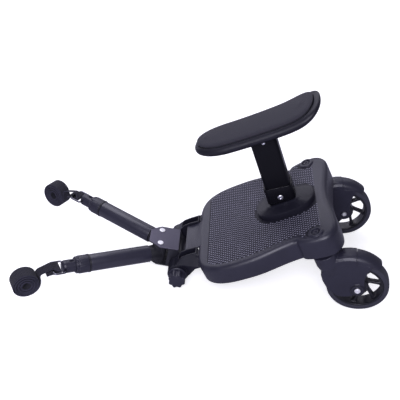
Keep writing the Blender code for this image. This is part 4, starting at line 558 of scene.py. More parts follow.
def woven(name, colour, pitch):
    """Plain weave: over-and-under threads from two sine waves of the place, and a fine fuzz."""
    made = Finish(name, colour, 0.8, Specular_IOR_Level=0.3, Sheen_Weight=0.05, Sheen_Roughness=0.5)
    where = made.place()
    turn = 2 * np.pi / pitch
    warp, weft = (where.part("X") * turn).sine(), (where.part("Y") * turn).sine()
    fuzz = made.noise(2600.0, 3.0)
    cloth = warp * weft * 0.35 + 0.35 + fuzz * 0.5
    made.tint(cloth.capped(), tuple(0.6 * c for c in colour), tuple(1.5 * c for c in colour))
    made.relief(cloth, 0.45, 0.25 * MM)
    return made.material


RUBBER = rubber("tyre_rubber_black", (0.030, 0.030, 0.043))
WEBBING = webbing("black_webbing", (0.014, 0.0136, 0.023))
PAD_CLOTH = woven("pad_cloth", (0.022, 0.0215, 0.030), 1.3 * MM)
print("soft finishes", RUBBER.name, WEBBING.name, PAD_CLOTH.name)

# %% [markdown]
# The deck is a tray turned upside down: a flat top, a rim rounded to 12 mm, a skirt that deepens
# towards the wheels, and ribs underneath. Seen from above its outline is wide and round in
# front, narrows at a waist, and spreads again into two ears over the wheels. Rings of that
# outline, each drawn in by the right amount and set at the right height, make the whole shell
# in one grid, from the middle of the underside round to the top. In front a low apron covers the
# hinge. The tread lies on a thin ground of its own finish, duller than the rim round it; the
# ground is also darker, and that darker colour is painted shade.

# %% Deck outline
DECK_FRONT, DECK_REAR, EAR_REAR = -262, 34, 44
DECK_HALF, WAIST_HALF, EAR_HALF = 150.5, 136, 153
WAIST_X, EAR_X, EAR_CORNER = -43, 10, 38
CORNER_LENGTH, CORNER_WIDTH, CORNER_FULLNESS = 111, 90, 3.0
RIM, WALL, LIP = 12, 3.2, 0.8
SKIRT_FRONT, SKIRT_REAR = 40, 50


def eased_share(count):
    """Shares from 0 to 1, without the 0, and a cosine easing of them."""
    share = np.linspace(0, 1, count + 1)[1:]
    return share, (1 - np.cos(np.pi * share)) / 2


def deck_outline():
    """Half outline from four formulas, front to rear, then its mirror.

    The front corner is a superellipse; the flank eases to the waist by a cosine; the ear
    swells by a sine and ends in a quarter ellipse; the rear edge eases back to the middle.
    """
    corner_x, corner_y = DECK_FRONT + CORNER_LENGTH, DECK_HALF - CORNER_WIDTH
    power = 2 / CORNER_FULLNESS
    angle = np.linspace(0, np.pi / 2, 36)
    front = np.column_stack([
        corner_x - CORNER_LENGTH * np.cos(angle).clip(0) ** power,
        corner_y + CORNER_WIDTH * np.sin(angle) ** power])
    share, ease = eased_share(14)
    flank = np.column_stack([
        corner_x + (WAIST_X - corner_x) * share, DECK_HALF + (WAIST_HALF - DECK_HALF) * ease])
    swell = np.sin(np.pi / 2 * share)
    ear = np.column_stack([
        WAIST_X + (EAR_X - WAIST_X) * share, WAIST_HALF + (EAR_HALF - WAIST_HALF) * swell**0.5])
    angle = np.linspace(0, np.pi / 2, 14)[1:]
    ear_y = EAR_HALF - EAR_CORNER
    round_ear = np.column_stack([
        EAR_X + (EAR_REAR - EAR_X) * np.sin(angle), ear_y + EAR_CORNER * np.cos(angle)])
    rear = np.column_stack([EAR_REAR + (DECK_REAR - EAR_REAR) * ease, ear_y * (1 - share)])
    half = np.concatenate([front, flank, ear, round_ear, rear[:-1]])
    middle = np.array([[DECK_REAR, 0.0]])
    return np.concatenate([middle, half[::-1], half * [1, -1]])


def skirt_depth(x):
    """Depth of the skirt, which grows evenly from the front to the ears."""
    share = (x - DECK_FRONT) / (EAR_REAR - DECK_FRONT)
    return SKIRT_FRONT + (SKIRT_REAR - SKIRT_FRONT) * share


outline = counter_clockwise(deck_outline())
print("deck outline", len(outline), "points")

# %% Deck shell


def deck_shell():
    """Rings from the underside's middle, down the inner wall, round the lip, up the skirt.

    The rim is a quarter circle: drawn in by RIM (1 - cos a), RIM (1 - sin a) below the top.
    """
    a = np.linspace(0, np.pi / 2, 9)
    inset = np.concatenate([[RIM, WALL, WALL, LIP, 0, 0], RIM * (1 - np.cos(a))])
    rings = drawn_in(outline, inset)
    low = -skirt_depth(outline[:, 0])
    under = np.full_like(low, -WALL)
    skirt = [under, under - RIM + WALL, low, low, low + LIP, 0.6 * low]
    rim = [np.full_like(low, level) for level in -RIM * (1 - np.sin(a))]
    levels = np.stack(skirt + rim)
    return grid_shell(np.concatenate([rings, levels[..., None]], -1))


# %% Ribs, apron and bosses
CASTER_Y = 130
CROSS_RIBS_X, LONG_RIBS_Y = (-160.75, -59.5), (-78, -26, 26, 78)
RIB_BOTTOM, RIB_HALF, RIB_REACH = -34, 1.2, 130


def crossing_ribs():
    """Thin walls under the deck: two across it, and four along it whose fronts are staggered."""
    lines = [oblong(x - RIB_HALF, x + RIB_HALF, -RIB_REACH, RIB_REACH) for x in CROSS_RIBS_X]
    lines += [oblong(-250 + 0.25 * abs(y), 30, y - RIB_HALF, y + RIB_HALF) for y in LONG_RIBS_Y]
    return [slab(line, RIB_BOTTOM, 0.5 - WALL, 0.4) for line in lines]


APRON_HALF = 46.1
hump = np.array([(-30, -5), (13, -5), (13, -0.2), (8, -0.1), (3, -1.2), (-4, -2.9), (-12, -3.4),
                 (-22, -2.6), (-29, -1.2), (-30, -2.2)])
hump = eased(hump + [DECK_FRONT, 0], [0.8] * 3 + [3] * 5 + [0.5] * 2)
apron = slab(hump, -APRON_HALF, APRON_HALF, upright=True)
boss_line = [(8.5, -49.8), (18, -49.8), (19, -48.8), (19, -3), (8.5, -3)]
boss, boss_faces = turned(boss_line, "z", 48, closed=True)
bosses = [(boss + [0, sign * CASTER_Y, 0], boss_faces) for sign in SIDES.values()]
print("ribs and bosses", len(crossing_ribs()) + len(bosses))

# %% Tread's ground, and the deck
FIELD_MARGIN, FIELD_FRONT, FIELD_REAR = 15.5, -236, 10
GROUND_TOP = 0.08
field = drawn_in(outline, [FIELD_MARGIN])[0]
field[:, 0] = field[:, 0].clip(FIELD_FRONT, FIELD_REAR)
ground = slab(field, -0.5, GROUND_TOP, 0.05)
deck_shells = [deck_shell(), ground, apron, *bosses, *crossing_ribs()]
deck = piece("deck_tray", deck_shells, BOARD, BLACK, "deck")
# The top faces inside the field take the tread's ground, whose darker colour is painted shade.
deck.data.materials.append(GROUND_PAINTED_SHADE)
up, origin = BOARD[:3, 2], BOARD[:3, 3]
top = [face for face in deck.data.polygons if np.dot(face.normal, up) > 0.99
       and np.dot(np.array(face.center) - origin, up) > GROUND_TOP / 2 * MM]
for face in top:
    face.material_index = 1
print("tread ground on", len(top), "faces")

# %% [markdown]
# The tread is a field of small raised dots in staggered rows, moulded with the deck so that shoes
# grip it. The field keeps a smooth margin along the deck's edge, round the seat's base and round
# the two caps. The dots are copies of one small dome with a flat crown, laid out on two square
# grids that are half a step apart, and kept where all three margins allow. They are the deck's own
# black plastic but are coloured far lighter, which is a painted highlight on every dot.

# %% Grip dots


def inside(polygon, points):
    """Whether each point lies in the polygon: an odd number of edges crosses the ray towards +X."""
    first, second = polygon, np.roll(polygon, -1, axis=0)
    x, y = points[:, :1], points[:, 1:]
    spans = (first[:, 1] > y) != (second[:, 1] > y)
    rise = np.where(second[:, 1] == first[:, 1], 1e-12, second[:, 1] - first[:, 1])
    cross = first[:, 0] + (y - first[:, 1]) * (second[:, 0] - first[:, 0]) / rise
    return (spans & (x < cross)).sum(1) % 2 == 1


BASE_X, BASE_LONG, BASE_HALF, BASE_FULLNESS = -55, 64, 45.5, 2.6
BASE_MARGIN, CAP_MARGIN = np.array([7, 8]), 21
DOT_STEP_X, DOT_STEP_Y = 9.26, 7.2
DOT_X, DOT_Y, DOT_HEIGHT = 1.95, 1.45, 0.8


def dot_places():
    """Centres of the dots: two square grids half a step apart, less the three margins."""
    i, j = np.meshgrid(np.arange(-32, 8), np.arange(-24, 25), indexing="ij")
    even = np.column_stack([i.ravel() * DOT_STEP_X, j.ravel() * DOT_STEP_Y])
    places = np.concatenate([even, even + [DOT_STEP_X / 2, DOT_STEP_Y / 2]])
    ratio = abs(places - [BASE_X, 0]) / ([BASE_LONG, BASE_HALF] + BASE_MARGIN)
    to_caps = np.hypot(places[:, 0], abs(places[:, 1]) - CASTER_Y)
    off_base = (ratio**BASE_FULLNESS).sum(1) > 1
    return places[inside(field, places) & off_base & (to_caps > CAP_MARGIN)]


def dots(places):
    """All dots as one shell: foot, side, shoulder and crown rings of ten points, closed by faces."""
    angle = 2 * np.pi * np.arange(10) / 10
    ring = np.column_stack([DOT_X * np.cos(angle), DOT_Y * np.sin(angle)])
    one = np.concatenate([
        np.column_stack([share * ring, np.full(10, level)])
        for share, level in ((1.0, -0.3), (0.98, 0.3 * DOT_HEIGHT), (0.8, 0.82 * DOT_HEIGHT),
                             (0.45, DOT_HEIGHT))])
    faces = np.array(grid_shell(one.reshape(4, 10, 3), caps=False)[1])
    count = len(places)
    points = one[None] + np.column_stack([places, np.zeros(count)])[:, None]
    shift = np.arange(count)[:, None, None] * len(one)
    sides = (faces[None] + shift).reshape(-1, 4).tolist()
    caps = np.stack([np.arange(10)[::-1], np.arange(30, 40)])
    return points.reshape(-1, 3), sides + (caps[None] + shift).reshape(-1, 10).tolist()


spots = dot_places()
# The dots carry the painted highlight.
grip = piece("deck_grip", [dots(spots)], BOARD, GRIP_PAINTED_HIGHLIGHT, body="board", smooth=60, weld=False)
print(len(spots), "dots")

# %% [markdown]
# Over each caster's bolt a round cap is pressed into the deck. It has a raised rim, a groove, a
# raised middle and a small hole in its centre. It is a turned part.

# %% Caster caps
cap_line = [(0, -1.2), (2.3, -1.2), (2.7, 2.1), (6.1, 2.3), (6.7, -0.6), (9.0, -0.6), (9.6, 3.0),
            (13.6, 3.0), (15.7, 1.4), (16, 0.1), (7.2, 0.1), (7.2, -3.6), (0, -3.6)]
cap = turned(cap_line, "z", 64, ease=0.5, ease_steps=4)
for side, sign in SIDES.items():
    at = moved(BOARD, y=sign * CASTER_Y)
    piece(f"caster_cap_{side}_top", [cap], at, BLACK, f"caster_cap_{side}")

# %% [markdown]
# The saddle's post stands in a low domed base that is screwed to the deck from below. The base
# begins as a rounded oblong with an upright edge and turns into the post's rectangle as it rises,
# which leaves a flat facet along each side and a lobe at each end. The glossy sleeve above it
# follows the post's lean and slopes a little at its top. All three are hollow: their rings go up
# outside, over the rim and down inside.

# %% Seat base and sleeve
LEAN = np.radians(POST_LEAN)
BASE_RISE = 21
SOCKET_HALF, SOCKET_FULLNESS = np.array([31.5, 24.5]), 9
CORNER_MATCH = 1.73


def base_ring(share, grow, height, steps=128):
    """Ring blended from the oblong to the socket, both superellipses x = L cos(a)^(2/n).

    The oblong has n = 2.6 and the socket n = 9. Their angles are matched so that the socket's
    corner, at 45 degrees, meets the oblong at 63: b = 90 (1 - (1 - a / 90)^1.73).
    """
    turn = 4 * (np.arange(steps) + 0.5) / steps
    part = turn % 1
    part = np.where(turn % 2 > 1, 1 - part, part)
    signs = np.column_stack([np.where((turn > 1) & (turn < 3), -1, 1), np.where(turn > 2, -1, 1)])

    def outline_at(angle, half, fullness):
        wave = np.column_stack([np.cos(angle), np.sin(angle)]).clip(0)
        return wave ** (2 / fullness) * half * signs

    foot_half = np.array([BASE_LONG, BASE_HALF]) + grow * (share == 0)
    foot_angle = np.pi / 2 * (1 - (1 - part) ** CORNER_MATCH)
    foot = outline_at(foot_angle, foot_half, BASE_FULLNESS)
    socket = outline_at(np.pi / 2 * part, SOCKET_HALF + grow, SOCKET_FULLNESS)
    flat = foot + (socket - foot) * share
    flat[:, 0] += BASE_X + (POST_X + LEAN * BASE_RISE - BASE_X) * share
    return np.column_stack([flat, np.full(steps, height)])


ladder = [(0, 0, 0.1), (0, 0, 10.4), (0, -0.25, 11.1), (0, -0.8, 11.5), (0.04, 0, 11.9), (0.2, 0, 13.5),
          (0.45, 0, 15.7), (0.7, 0, 18.0), (0.88, 0, 19.7), (0.94, 0.3, 20.5), (1, 0.3, 20.9),
          (1, -0.3, 21.2), (1, -3.9, 21.2), (1, -3.9, 0.4)]
rings = np.stack([base_ring(*step) for step in ladder])
piece("seat_base_dome", [grid_shell(rings, wrap=True)], BOARD, BASE_BLACK, "seat_base", smooth=24)


def post_shell(outer, inner, low, high, rim):
    """Hollow post part: rings up the outside, over a rim, and down the inside.

    low and high give the height of the foot and of the head from an outline's points.
    """
    a = np.linspace(0, np.pi / 2, 5)
    inset, step = rim * (1 - np.sin(a)), rim * (1 - np.cos(a))
    outside = drawn_in(outer, np.concatenate([inset, inset[::-1]]))
    foot = low(outer)[None] + step[:, None]
    head = high(outer)[None] - step[::-1, None]
    levels = np.concatenate([foot, head, high(inner)[None], low(inner)[None]])
    return grid_shell(np.concatenate([np.concatenate([outside, inner[None], inner[None]]),
                                      levels[..., None]], -1), wrap=True)


def level(height):
    """A level edge at this height."""
    return lambda ring: np.full(len(ring), height)


POST_OUTER, POST_BORE = (54, 40, 8), (49.2, 35.2, 5.6)
POST_FOOT, POST_HEAD = 13, 176
SLEEVE_OUTER, SLEEVE_BORE = (60.6, 46.6, 9.5), (54.4, 40.4, 8)
SLEEVE_FOOT, SLEEVE_HEAD, HEAD_SLOPE = 22.5, 60, np.radians(2)
BASE_TOP = 21.3


def sleeve_foot(ring):
    """The base's top plane seen in the leaning post's frame, or the sleeve's lowest height."""
    return np.maximum(SLEEVE_FOOT, (BASE_TOP + ring[:, 0] * np.sin(LEAN)) / np.cos(LEAN))


def sleeve_head(ring):
    """A plane that falls backwards."""
    return SLEEVE_HEAD - ring[:, 0] * np.tan(HEAD_SLOPE)


sleeve = post_shell(round_rectangle(*SLEEVE_OUTER, 10), round_rectangle(*SLEEVE_BORE, 10),
                    sleeve_foot, sleeve_head, 1.2)
piece("post_sleeve_shell", [sleeve], POST, SLEEVE_BLACK, "post_sleeve", smooth=45)
tube = post_shell(round_rectangle(*POST_OUTER, 10), round_rectangle(*POST_BORE, 10),
                  level(POST_FOOT), level(POST_HEAD), 0.6)
piece("seat_post_tube", [tube], POST, POST_COAT, "seat_post", smooth=45)

# %% [markdown]
# Two bolts cross the post, one through the sleeve and one through the bracket's spigot. Each
# has a button head with a recess on the left and a nut on the right. A bolt is a turned part.

# %% Bolts of the post


def button(radius, head, face, tip, height=2.6):
    """Button-head bolt towards -Y: shank, head and round recess, turned as one line.

    The head is a superellipse: radius h cos(a)^0.6 at the height 0.3 mm + H sin(a) over its face.
    """
    angle = np.linspace(0, np.pi / 2, 7)
    dome = np.column_stack([head * np.cos(angle).clip(0) ** 0.6,
                            -(face + 0.3 + height * np.sin(angle))])
    recess = 0.42 * head
    line = [(0, tip), (radius, tip), (radius, -face), (head, -face), *dome[:5].tolist(),
            (recess, -(face + height)), (0.96 * recess, -(face + 0.35 * height)),
            (0, -(face + 0.3 * height))]
    return turned(line, "y", 36)


for name, z, size in (("post", 36, (3.0, 6.4, 23.6, 28.6)), ("seat", 170, (2.5, 4.0, 20.3, 24.8))):
    piece(f"{name}_bolt_button", [button(*size)], moved(POST, z=z), STEEL, f"{name}_bolt", smooth=30)

# %% [markdown]
# The saddle is a moulded pan with a smooth sloping rim, lowest over the post and raised at both
# ends. A pad of foam under a fine woven cover lies in its recess and stands a few millimetres
# over the rim. Both share one outline: nearly parabolic ends joined by almost straight sides.

# %% Saddle


SEAT_FRONT, FRONT_ROUND, FRONT_HALF = -177, 75, 49.5
SEAT_REAR, REAR_ROUND, REAR_HALF = 96, 53, 53.5
SEAT_HEIGHT, NOSE_RISE, TAIL_RISE = 206, 10.5, 22.5
SEAT_MIDDLE, DRAW_LENGTH, REAR_DRAW = -40, 136, 1.5
PAN_DEPTH = 25


def seat_outline(ends=22, sides=12):
    """Half outline by powers of cosine and sine round each end, straight between, then mirrored."""
    rear_x, front_x = SEAT_REAR - REAR_ROUND, SEAT_FRONT + FRONT_ROUND
    angle = np.linspace(0, np.pi / 2, ends)
    wide, blunt = np.cos(angle).clip(0), np.sin(angle)
    rear = np.column_stack([rear_x + REAR_ROUND * wide**0.8, REAR_HALF * blunt**0.8])
    share = np.linspace(0, 1, sides + 2)[1:-1]
    flank = np.column_stack([rear_x + (front_x - rear_x) * share,
                             REAR_HALF + (FRONT_HALF - REAR_HALF) * share])
    front = np.column_stack([front_x - FRONT_ROUND * wide**0.9, FRONT_HALF * blunt**0.9])[::-1]
    half = np.concatenate([rear, flank, front])
    return np.concatenate([half, (half * [1, -1])[-2:0:-1]])


saddle_outline = seat_outline()


def seat_top(x):
    """Top line: the seat's height, rising by a square to the nose and by a power 2.5 to the tail."""
    nose, tail = np.clip(x / SEAT_FRONT, 0, 1), np.clip(x / SEAT_REAR, 0, 1)
    return SEAT_HEIGHT + NOSE_RISE * nose**2 + TAIL_RISE * tail**2.5


def seat_ring(inset, rise):
    """The outline drawn in by inset, 1.5 times that at the rear, at the top line plus rise."""
    share = (saddle_outline[:, 0] - SEAT_MIDDLE) / DRAW_LENGTH
    draw = inset * np.where(share > 0, REAR_DRAW, 1)
    x = SEAT_MIDDLE + share * (DRAW_LENGTH - draw)
    y = saddle_outline[:, 1] * (1 - inset / REAR_HALF)
    return np.column_stack([x, y, seat_top(x) + rise])


def seat_body(profile, radius, steps=6):
    """Rings of the saddle from a profile of (inset, rise) pairs with eased corners."""
    line = eased(profile, radius, steps, closed=False)
    return np.stack([seat_ring(inset, rise) for inset, rise in line])


def to_spine(rings, count=6, lift=0.0):
    """Rings added inside the last one, with their Y drawn to nothing, rising by lift on the way."""
    last = rings[-1]
    share = np.linspace(0, 1, count + 1)[1:, None]
    more = np.repeat(last[None], count, axis=0)
    more[..., 1] *= 1 - share
    more[..., 2] += lift * (1 - (1 - share) ** 2)
    return np.concatenate([rings, more])


pan_line = [(13.5, -12), (10.6, -12), (10.3, -7.2), (8.5, -6), (4, -8.6), (1.2, -12), (0, -15.5),
            (0.8, -19.5), (4.5, -23.2), (8, -PAN_DEPTH), (14, -PAN_DEPTH)]
pan = to_spine(to_spine(seat_body(pan_line, 2.2))[::-1])
piece("seat_shell_pan", [grid_shell(pan, caps=False)], BOARD, PAN_BLACK, "seat_shell", smooth=50)
pad_line = [(12.3, -11.7), (11.6, -6.5), (9.6, -4.6), (8.9, -2.6), (10.4, -0.4), (13.5, 1.1),
            (18, 1.9), (27, 2.6)]
pad_rings = to_spine(to_spine(seat_body(pad_line, 1.6), 8, 0.9)[::-1], 3)
pad_shell = grid_shell(pad_rings, caps=False)
pad = piece("seat_pad_cushion", [pad_shell], BOARD, PAD_CLOTH, "seat_pad", smooth=80)

# %% [markdown]
# Under the pan a flat bracket spreads the load, and a spigot below it fills the post's head.

# %% Seat bracket
under_x = POST_X + np.tan(LEAN) * SEAT_HEIGHT
under_z = float(seat_top(np.array(under_x))) - PAN_DEPTH + 1.7
plate = slab(round_rectangle(96, 62, 8), under_z - 5, under_z, 1)
under_seat = moved(BOARD, x=under_x)
spigot = slab(round_rectangle(48.6, 34.6, 5.3), 142, 180)
spigot = sent(spigot, np.linalg.inv(under_seat) @ POST)
piece("seat_bracket_plate", [plate, spigot], under_seat, NYLON, "seat_bracket")

# %% [markdown]
# The wheel forks are single mouldings: a crown on the swivel, a collar that widens upwards, two
# cheeks with round axle bosses, and the front of a rounded hood. They are softened copies of
# the CAD solid. The hood itself is a true surface, because its broad highlight would show every
# facet: the crown of a large ring that doesn't share the wheel's centre, cut along lines through
# the axle. The fender is the same ring's tail, a little smaller, past a thin seam.

# %% Forks and fenders
COVER_CENTRE, COVER_DOME = np.array([-12.5, 7.2]), 15
COVER_HALF, COVER_WALL, COVER_DEPTH = 20.3, 3.2, 19
HOOD_RADIUS, TAIL_RADIUS, TAIL_EDGE = 82.15, 81.2, 67


def wheel_cover(radius, first, last, tail=0.0, axle_root=None, sunk=0.0):
    """A sector of a ring of this radius about the cover's centre, between two angles at the axle.

    In the direction u from the axle a circle of radius r about the centre C is met at
    t = u.C + sqrt((u.C)^2 + r^2 - C.C). The section is the outer skin and, a wall inside, the
    inner one; both begin at the root, sunk into the moulding, or axle_root away from the axle.
    The dome is a superellipse: y = h cos(a)^0.8, r = R + D (sin(a)^0.8 - 1). The tail starts
    later by tail degrees at its inner edge, which slants it.
    """
    root = radius - COVER_DEPTH
    a = np.linspace(0, np.pi / 2, 22)
    dome = np.column_stack([radius + COVER_DOME * (np.sin(a) ** 0.8 - 1),
                            COVER_HALF * np.cos(a).clip(0) ** 0.8])
    outside = np.concatenate([[(root, COVER_HALF - sunk), (root + 1.5, COVER_HALF - 0.5 * sunk)], dome])
    within = (dome - [COVER_WALL, 0]) * [1, 1 - COVER_WALL / COVER_HALF]
    within = np.concatenate([[(root, COVER_HALF - COVER_WALL - sunk)], within])
    share = np.linspace(0, 1, 41)[:, None]
    skins = []
    for curve in (outside, within):
        r, y = curve[:, 0][None], curve[:, 1]
        start = first + tail * ((radius - r) / (radius - TAIL_EDGE)).clip(0, 1)
        angle = np.radians(start + (last - start) * share)
        u = np.stack([np.cos(angle), np.sin(angle)], -1)
        if axle_root:
            r = np.maximum(r, np.linalg.norm(axle_root * u - COVER_CENTRE, axis=-1))
            r = np.minimum(r, curve[-1, 0])
        r = r + 0 * angle
        rising = curve[:, 0] + 1e-6 * np.arange(len(curve))
        y = np.interp(r, rising, y)
        along = u @ COVER_CENTRE
        t = along + np.sqrt(along**2 + r**2 - COVER_CENTRE @ COVER_CENTRE)
        skins.append(np.stack([u[..., 0] * t, y, u[..., 1] * t], -1))
    flip = np.array([1, -1, 1])
    outer, inner = skins
    ring = np.concatenate([outer, (outer * flip)[:, -2::-1], inner * flip, inner[:, -2::-1]], axis=1)
    return grid_shell(ring)


hood_shell = wheel_cover(HOOD_RADIUS, 73.1, 113, sunk=1.2)
tail_shell = wheel_cover(TAIL_RADIUS, 31, 72.7, tail=8, axle_root=66.5)
for side in SIDES:
    moulding(f"fork_{side}_moulding", f"fork_{side}", BLACK, 0.95, 8)
    hood = piece(f"fork_{side}_hood", [hood_shell], WHEEL[side], BLACK,
                 body=body_of[f"fork_{side}"], smooth=42)
    piece(f"fender_{side}_tail", [tail_shell], WHEEL[side], BLACK, f"fender_{side}", smooth=42)

# %% [markdown]
# Each wheel has a solid rubber tyre with flat sides on a glossy moulded centre. Seven slanted
# spokes leave large windows with round corners. The centre is joined from a hub, a rim and
# spokes, then voxel-remeshed, which gives the fillets of a mould where the spokes meet the rest.
# The axle bolt has a bright domed head in a stepped washer.

# %% Tyre and wheel centre
PHASE, SPOKES, SPOKE_HALF = {"left": 23, "right": 4}, 7, 5.5
tyre_line = [(52.5, 14), (60.9, 14), (62.8, 11.7), (63.5, 5), (63.5, -5), (62.8, -11.7),
             (60.9, -14), (52.5, -14)]
rim_line = [(52.2, 13.5), (47.7, 13.5), (47.7, -13.5), (52.2, -13.5)]
hub_line = np.array([(16, 15.7), (22, 11.5), (22, -11.5), (16, -15.7), (4.3, -15.7), (4.3, 8.7),
                     (11.3, 8.7), (11.3, 15.7)])
spoke_line = eased([(13.5, 8.2), (26, 9.1), (41, 8.5), (49.5, 5.2), (49.5, 19.5), (41, 15.6),
                    (26, 15.1), (13.5, 16.5)], 3.0, 5)
tyre = turned(tyre_line, "y", 144, closed=True, ease=1.6, ease_steps=6)


def wheel_centre(sign, phase):
    """Hub with a bearing seat in its outer face, rim, and seven spokes turned by 2 pi k / 7."""
    shells = [turned(hub_line * [1, sign], "y", 96, closed=True, ease=1.2),
              turned(rim_line, "y", 144, closed=True, ease=1.0, ease_steps=4)]
    spoke = slab(spoke_line, -SPOKE_HALF, SPOKE_HALF, 1.6, upright=True)
    for k in range(SPOKES):
        turn = Matrix.Rotation(2 * np.pi * k / SPOKES - np.radians(phase), 4, "Y")
        shells.append(sent(spoke, np.array(turn)))
    return shells


print("spoke's outline", len(spoke_line), "points")

# %% Wheels on their axles
bolt_line = np.array([(0, 26.6), (3.4, 26.5), (3.9, 25.8), (4.4, 26.4), (6.2, 25.2), (6.2, 23.8),
                      (4, 23.8), (4, -23), (0, -23)])
race_line = np.array([(10.9, 15.6), (9.2, 15.6), (8.8, 15.0), (6.6, 15.0), (6.2, 15.6), (4.2, 15.6),
                      (4.2, 9), (10.9, 9)])
washer_line = np.array([(14.2, 23.0), (14.2, 23.75), (12.9, 24.1), (11.8, 23.4), (8.2, 23.4),
                        (7.4, 24.3), (6.5, 24.3), (6.5, 23.0)])
for side, sign in SIDES.items():
    at, outwards = WHEEL[side], [1, sign]
    piece(f"tyre_{side}_rubber", [tyre], at, RUBBER, f"tyre_{side}", smooth=50)
    centre = piece(f"wheel_core_{side}_spokes", wheel_centre(sign, PHASE[side]), at, GLOSSY,
                   f"wheel_core_{side}", weld=False)
    soften(centre, 0.75, 5)
    race = turned(race_line * outwards, "y", 48, closed=True, ease=0.3)
    piece(f"wheel_bearing_{side}_races", [race], at, STEEL, f"wheel_bearing_{side}")
    bolt = turned(bolt_line * outwards, "y", 48, ease=0.5, ease_steps=4)
    piece(f"wheel_bolt_{side}_head", [bolt], at, ZINC_PAINTED_GLINT, f"wheel_bolt_{side}")
    washer = turned(washer_line * outwards, "y", 64, closed=True, ease=0.3)
    ring = piece(f"axle_boss_{side}_rings", [washer], at, GLOSSY, body=body_of[f"fork_{side}"])

# %% [markdown]
# The hinge in front of the deck: two hooked cheeks carry an axle, with round spacers between
# them and the hub. The cheeks are mouldings, softened from the CAD solid. On the left end of the
# axle sits a fluted clamp knob, whose radius is a cosine of the angle with eight lobes.

# %% Hinge and knob
for side in SIDES:
    moulding(f"hinge_cheek_{side}_moulding", f"hinge_cheek_{side}", BASE_BLACK, 0.8, 5)


def fluted(radius, lobe, lobes, low, high, rim, steps, upright):
    """Bar of section radius + lobe cos(lobes a), with rounded ends, along Y if upright, else Z."""
    angle = 2 * np.pi * np.arange(steps) / steps
    reach = radius + lobe * np.cos(lobes * angle)
    section = reach[:, None] * np.column_stack([np.cos(angle), np.sin(angle)])
    return slab(section, low, high, rim, upright, 5)


flange_line = [(0, 0), (19.2, 0), (20, -0.9), (20, -3.1), (18.8, -4), (0, -4)]
flange = turned(flange_line, "y", 72, ease=0.5)
grip_body = fluted(17, 1.5, 8, -23, -3.5, 1.8, 144, True)
face_line = [(0, -23.3), (9, -23.3), (9.8, -23), (9.8, -22.5), (0, -22.5)]
face_ring = turned(face_line, "y", 48, ease=0.2, ease_steps=2)
piece("clamp_knob_body", [flange, grip_body, face_ring], KNOB, BLACK, "clamp_knob", smooth=40)

# %% [markdown]
# The hub is a short folded channel of sheet metal that swings on the axle, closed on top by a
# chamfered plate with a satin finish. Under the deck's edge a lip stiffens the channel, and a
# tube between its webs covers the axle. Between plate and channel the two arm knuckles turn on
# rivets, whose heads are low domes with a small dimple from the setting tool.

# %% Hub
SHEET, HUB_HALF, PLATE_LOW = 2.5, 37.5, 31
FLOOR_LOW, BACK_TOP = -17, 30.7
plate_line = eased([(-6, HUB_HALF), (-49, HUB_HALF), (-72, 21), (-72, -21), (-49, -HUB_HALF),
                    (-6, -HUB_HALF)], 1.6, 4)
piece("hub_plate_sheet", [slab(plate_line, PLATE_LOW, PLATE_LOW + SHEET, 0.5)], HUB, PLATE, "hub_plate")
lug = np.concatenate([arc_points((0, 0), 13, -90, 60, 20),
                      [(-6, BACK_TOP), (-28, BACK_TOP), (-28, -15.75), (0, -15.75)]])
webs = [slab(lug, y, y + SHEET, 0.4, upright=True) for y in (-HUB_HALF, HUB_HALF - SHEET)]
floor_line = drawn_in(counter_clockwise(plate_line), [0.5])[0]
floor_sheet = slab(floor_line, FLOOR_LOW, FLOOR_LOW + SHEET, 0.4)
back = slab(oblong(-11.5, -9, -36.5, 36.5), -16, BACK_TOP, 0.3)
lip = slab(oblong(-8, 5.5, -34.5, 34.5), -16.9, -14.6, 0.4)
tube_line = [(12.3, -34.7), (12.3, 34.7), (4.7, 34.7), (4.7, -34.7)]
axle_tube = turned(tube_line, "y", 64, closed=True, ease=0.4)
piece("hub_channel_sheet", [floor_sheet, lip, back, axle_tube, *webs], HUB, CHANNEL_COAT, "hub_channel")

# %% Rivets of the arms
PIVOT_X, PIVOT_Y = -47, 22.8
rivet_line = [(0, 34.4), (1.3, 34.4), (1.7, 35.7), (3.6, 35.7), (6.2, 35.2), (6.6, 34.4), (6.6, 33.8),
              (4, 33.8), (4, -17.3), (6.3, -17.3), (6.3, -18.2), (0, -19.4)]
rivet = turned(rivet_line, "z", 48, ease=0.4, ease_steps=4)
for side, sign in SIDES.items():
    at = moved(HUB, x=PIVOT_X, y=sign * PIVOT_Y)
    piece(f"arm_pin_{side}_rivet", [rivet], at, ZINC_PAINTED_GLINT, f"arm_pin_{side}")

# %% [markdown]
# Each arm telescopes: a fluted knuckle, a wide tube, a thin trim ring, a twist collar with
# notches that grip when it is turned, a narrow inner tube, and a round-nosed end fitting that
# holds the steel ring. The knuckle stands on its pivot, and its neck, the tubes, ring and collar
# are turned about the arm's own axis. The fitting is softened from the CAD solid.

# %% Arms


TUBE_START, TUBE_END, RING_END, INNER_START, INNER_END = 25, 162, 165.3, 62, 194
NOTCHES, NOTCH_DEPTH, LIP_X = 12, 1.1, -185.5


def pipe(outer, inner, start, end, rim=0.5):
    """Tube along -X between two distances, with its four edges eased."""
    line = [(outer, -start), (outer, -end), (inner, -end), (inner, -start)]
    return turned(line, "x", 64, closed=True, ease=rim)


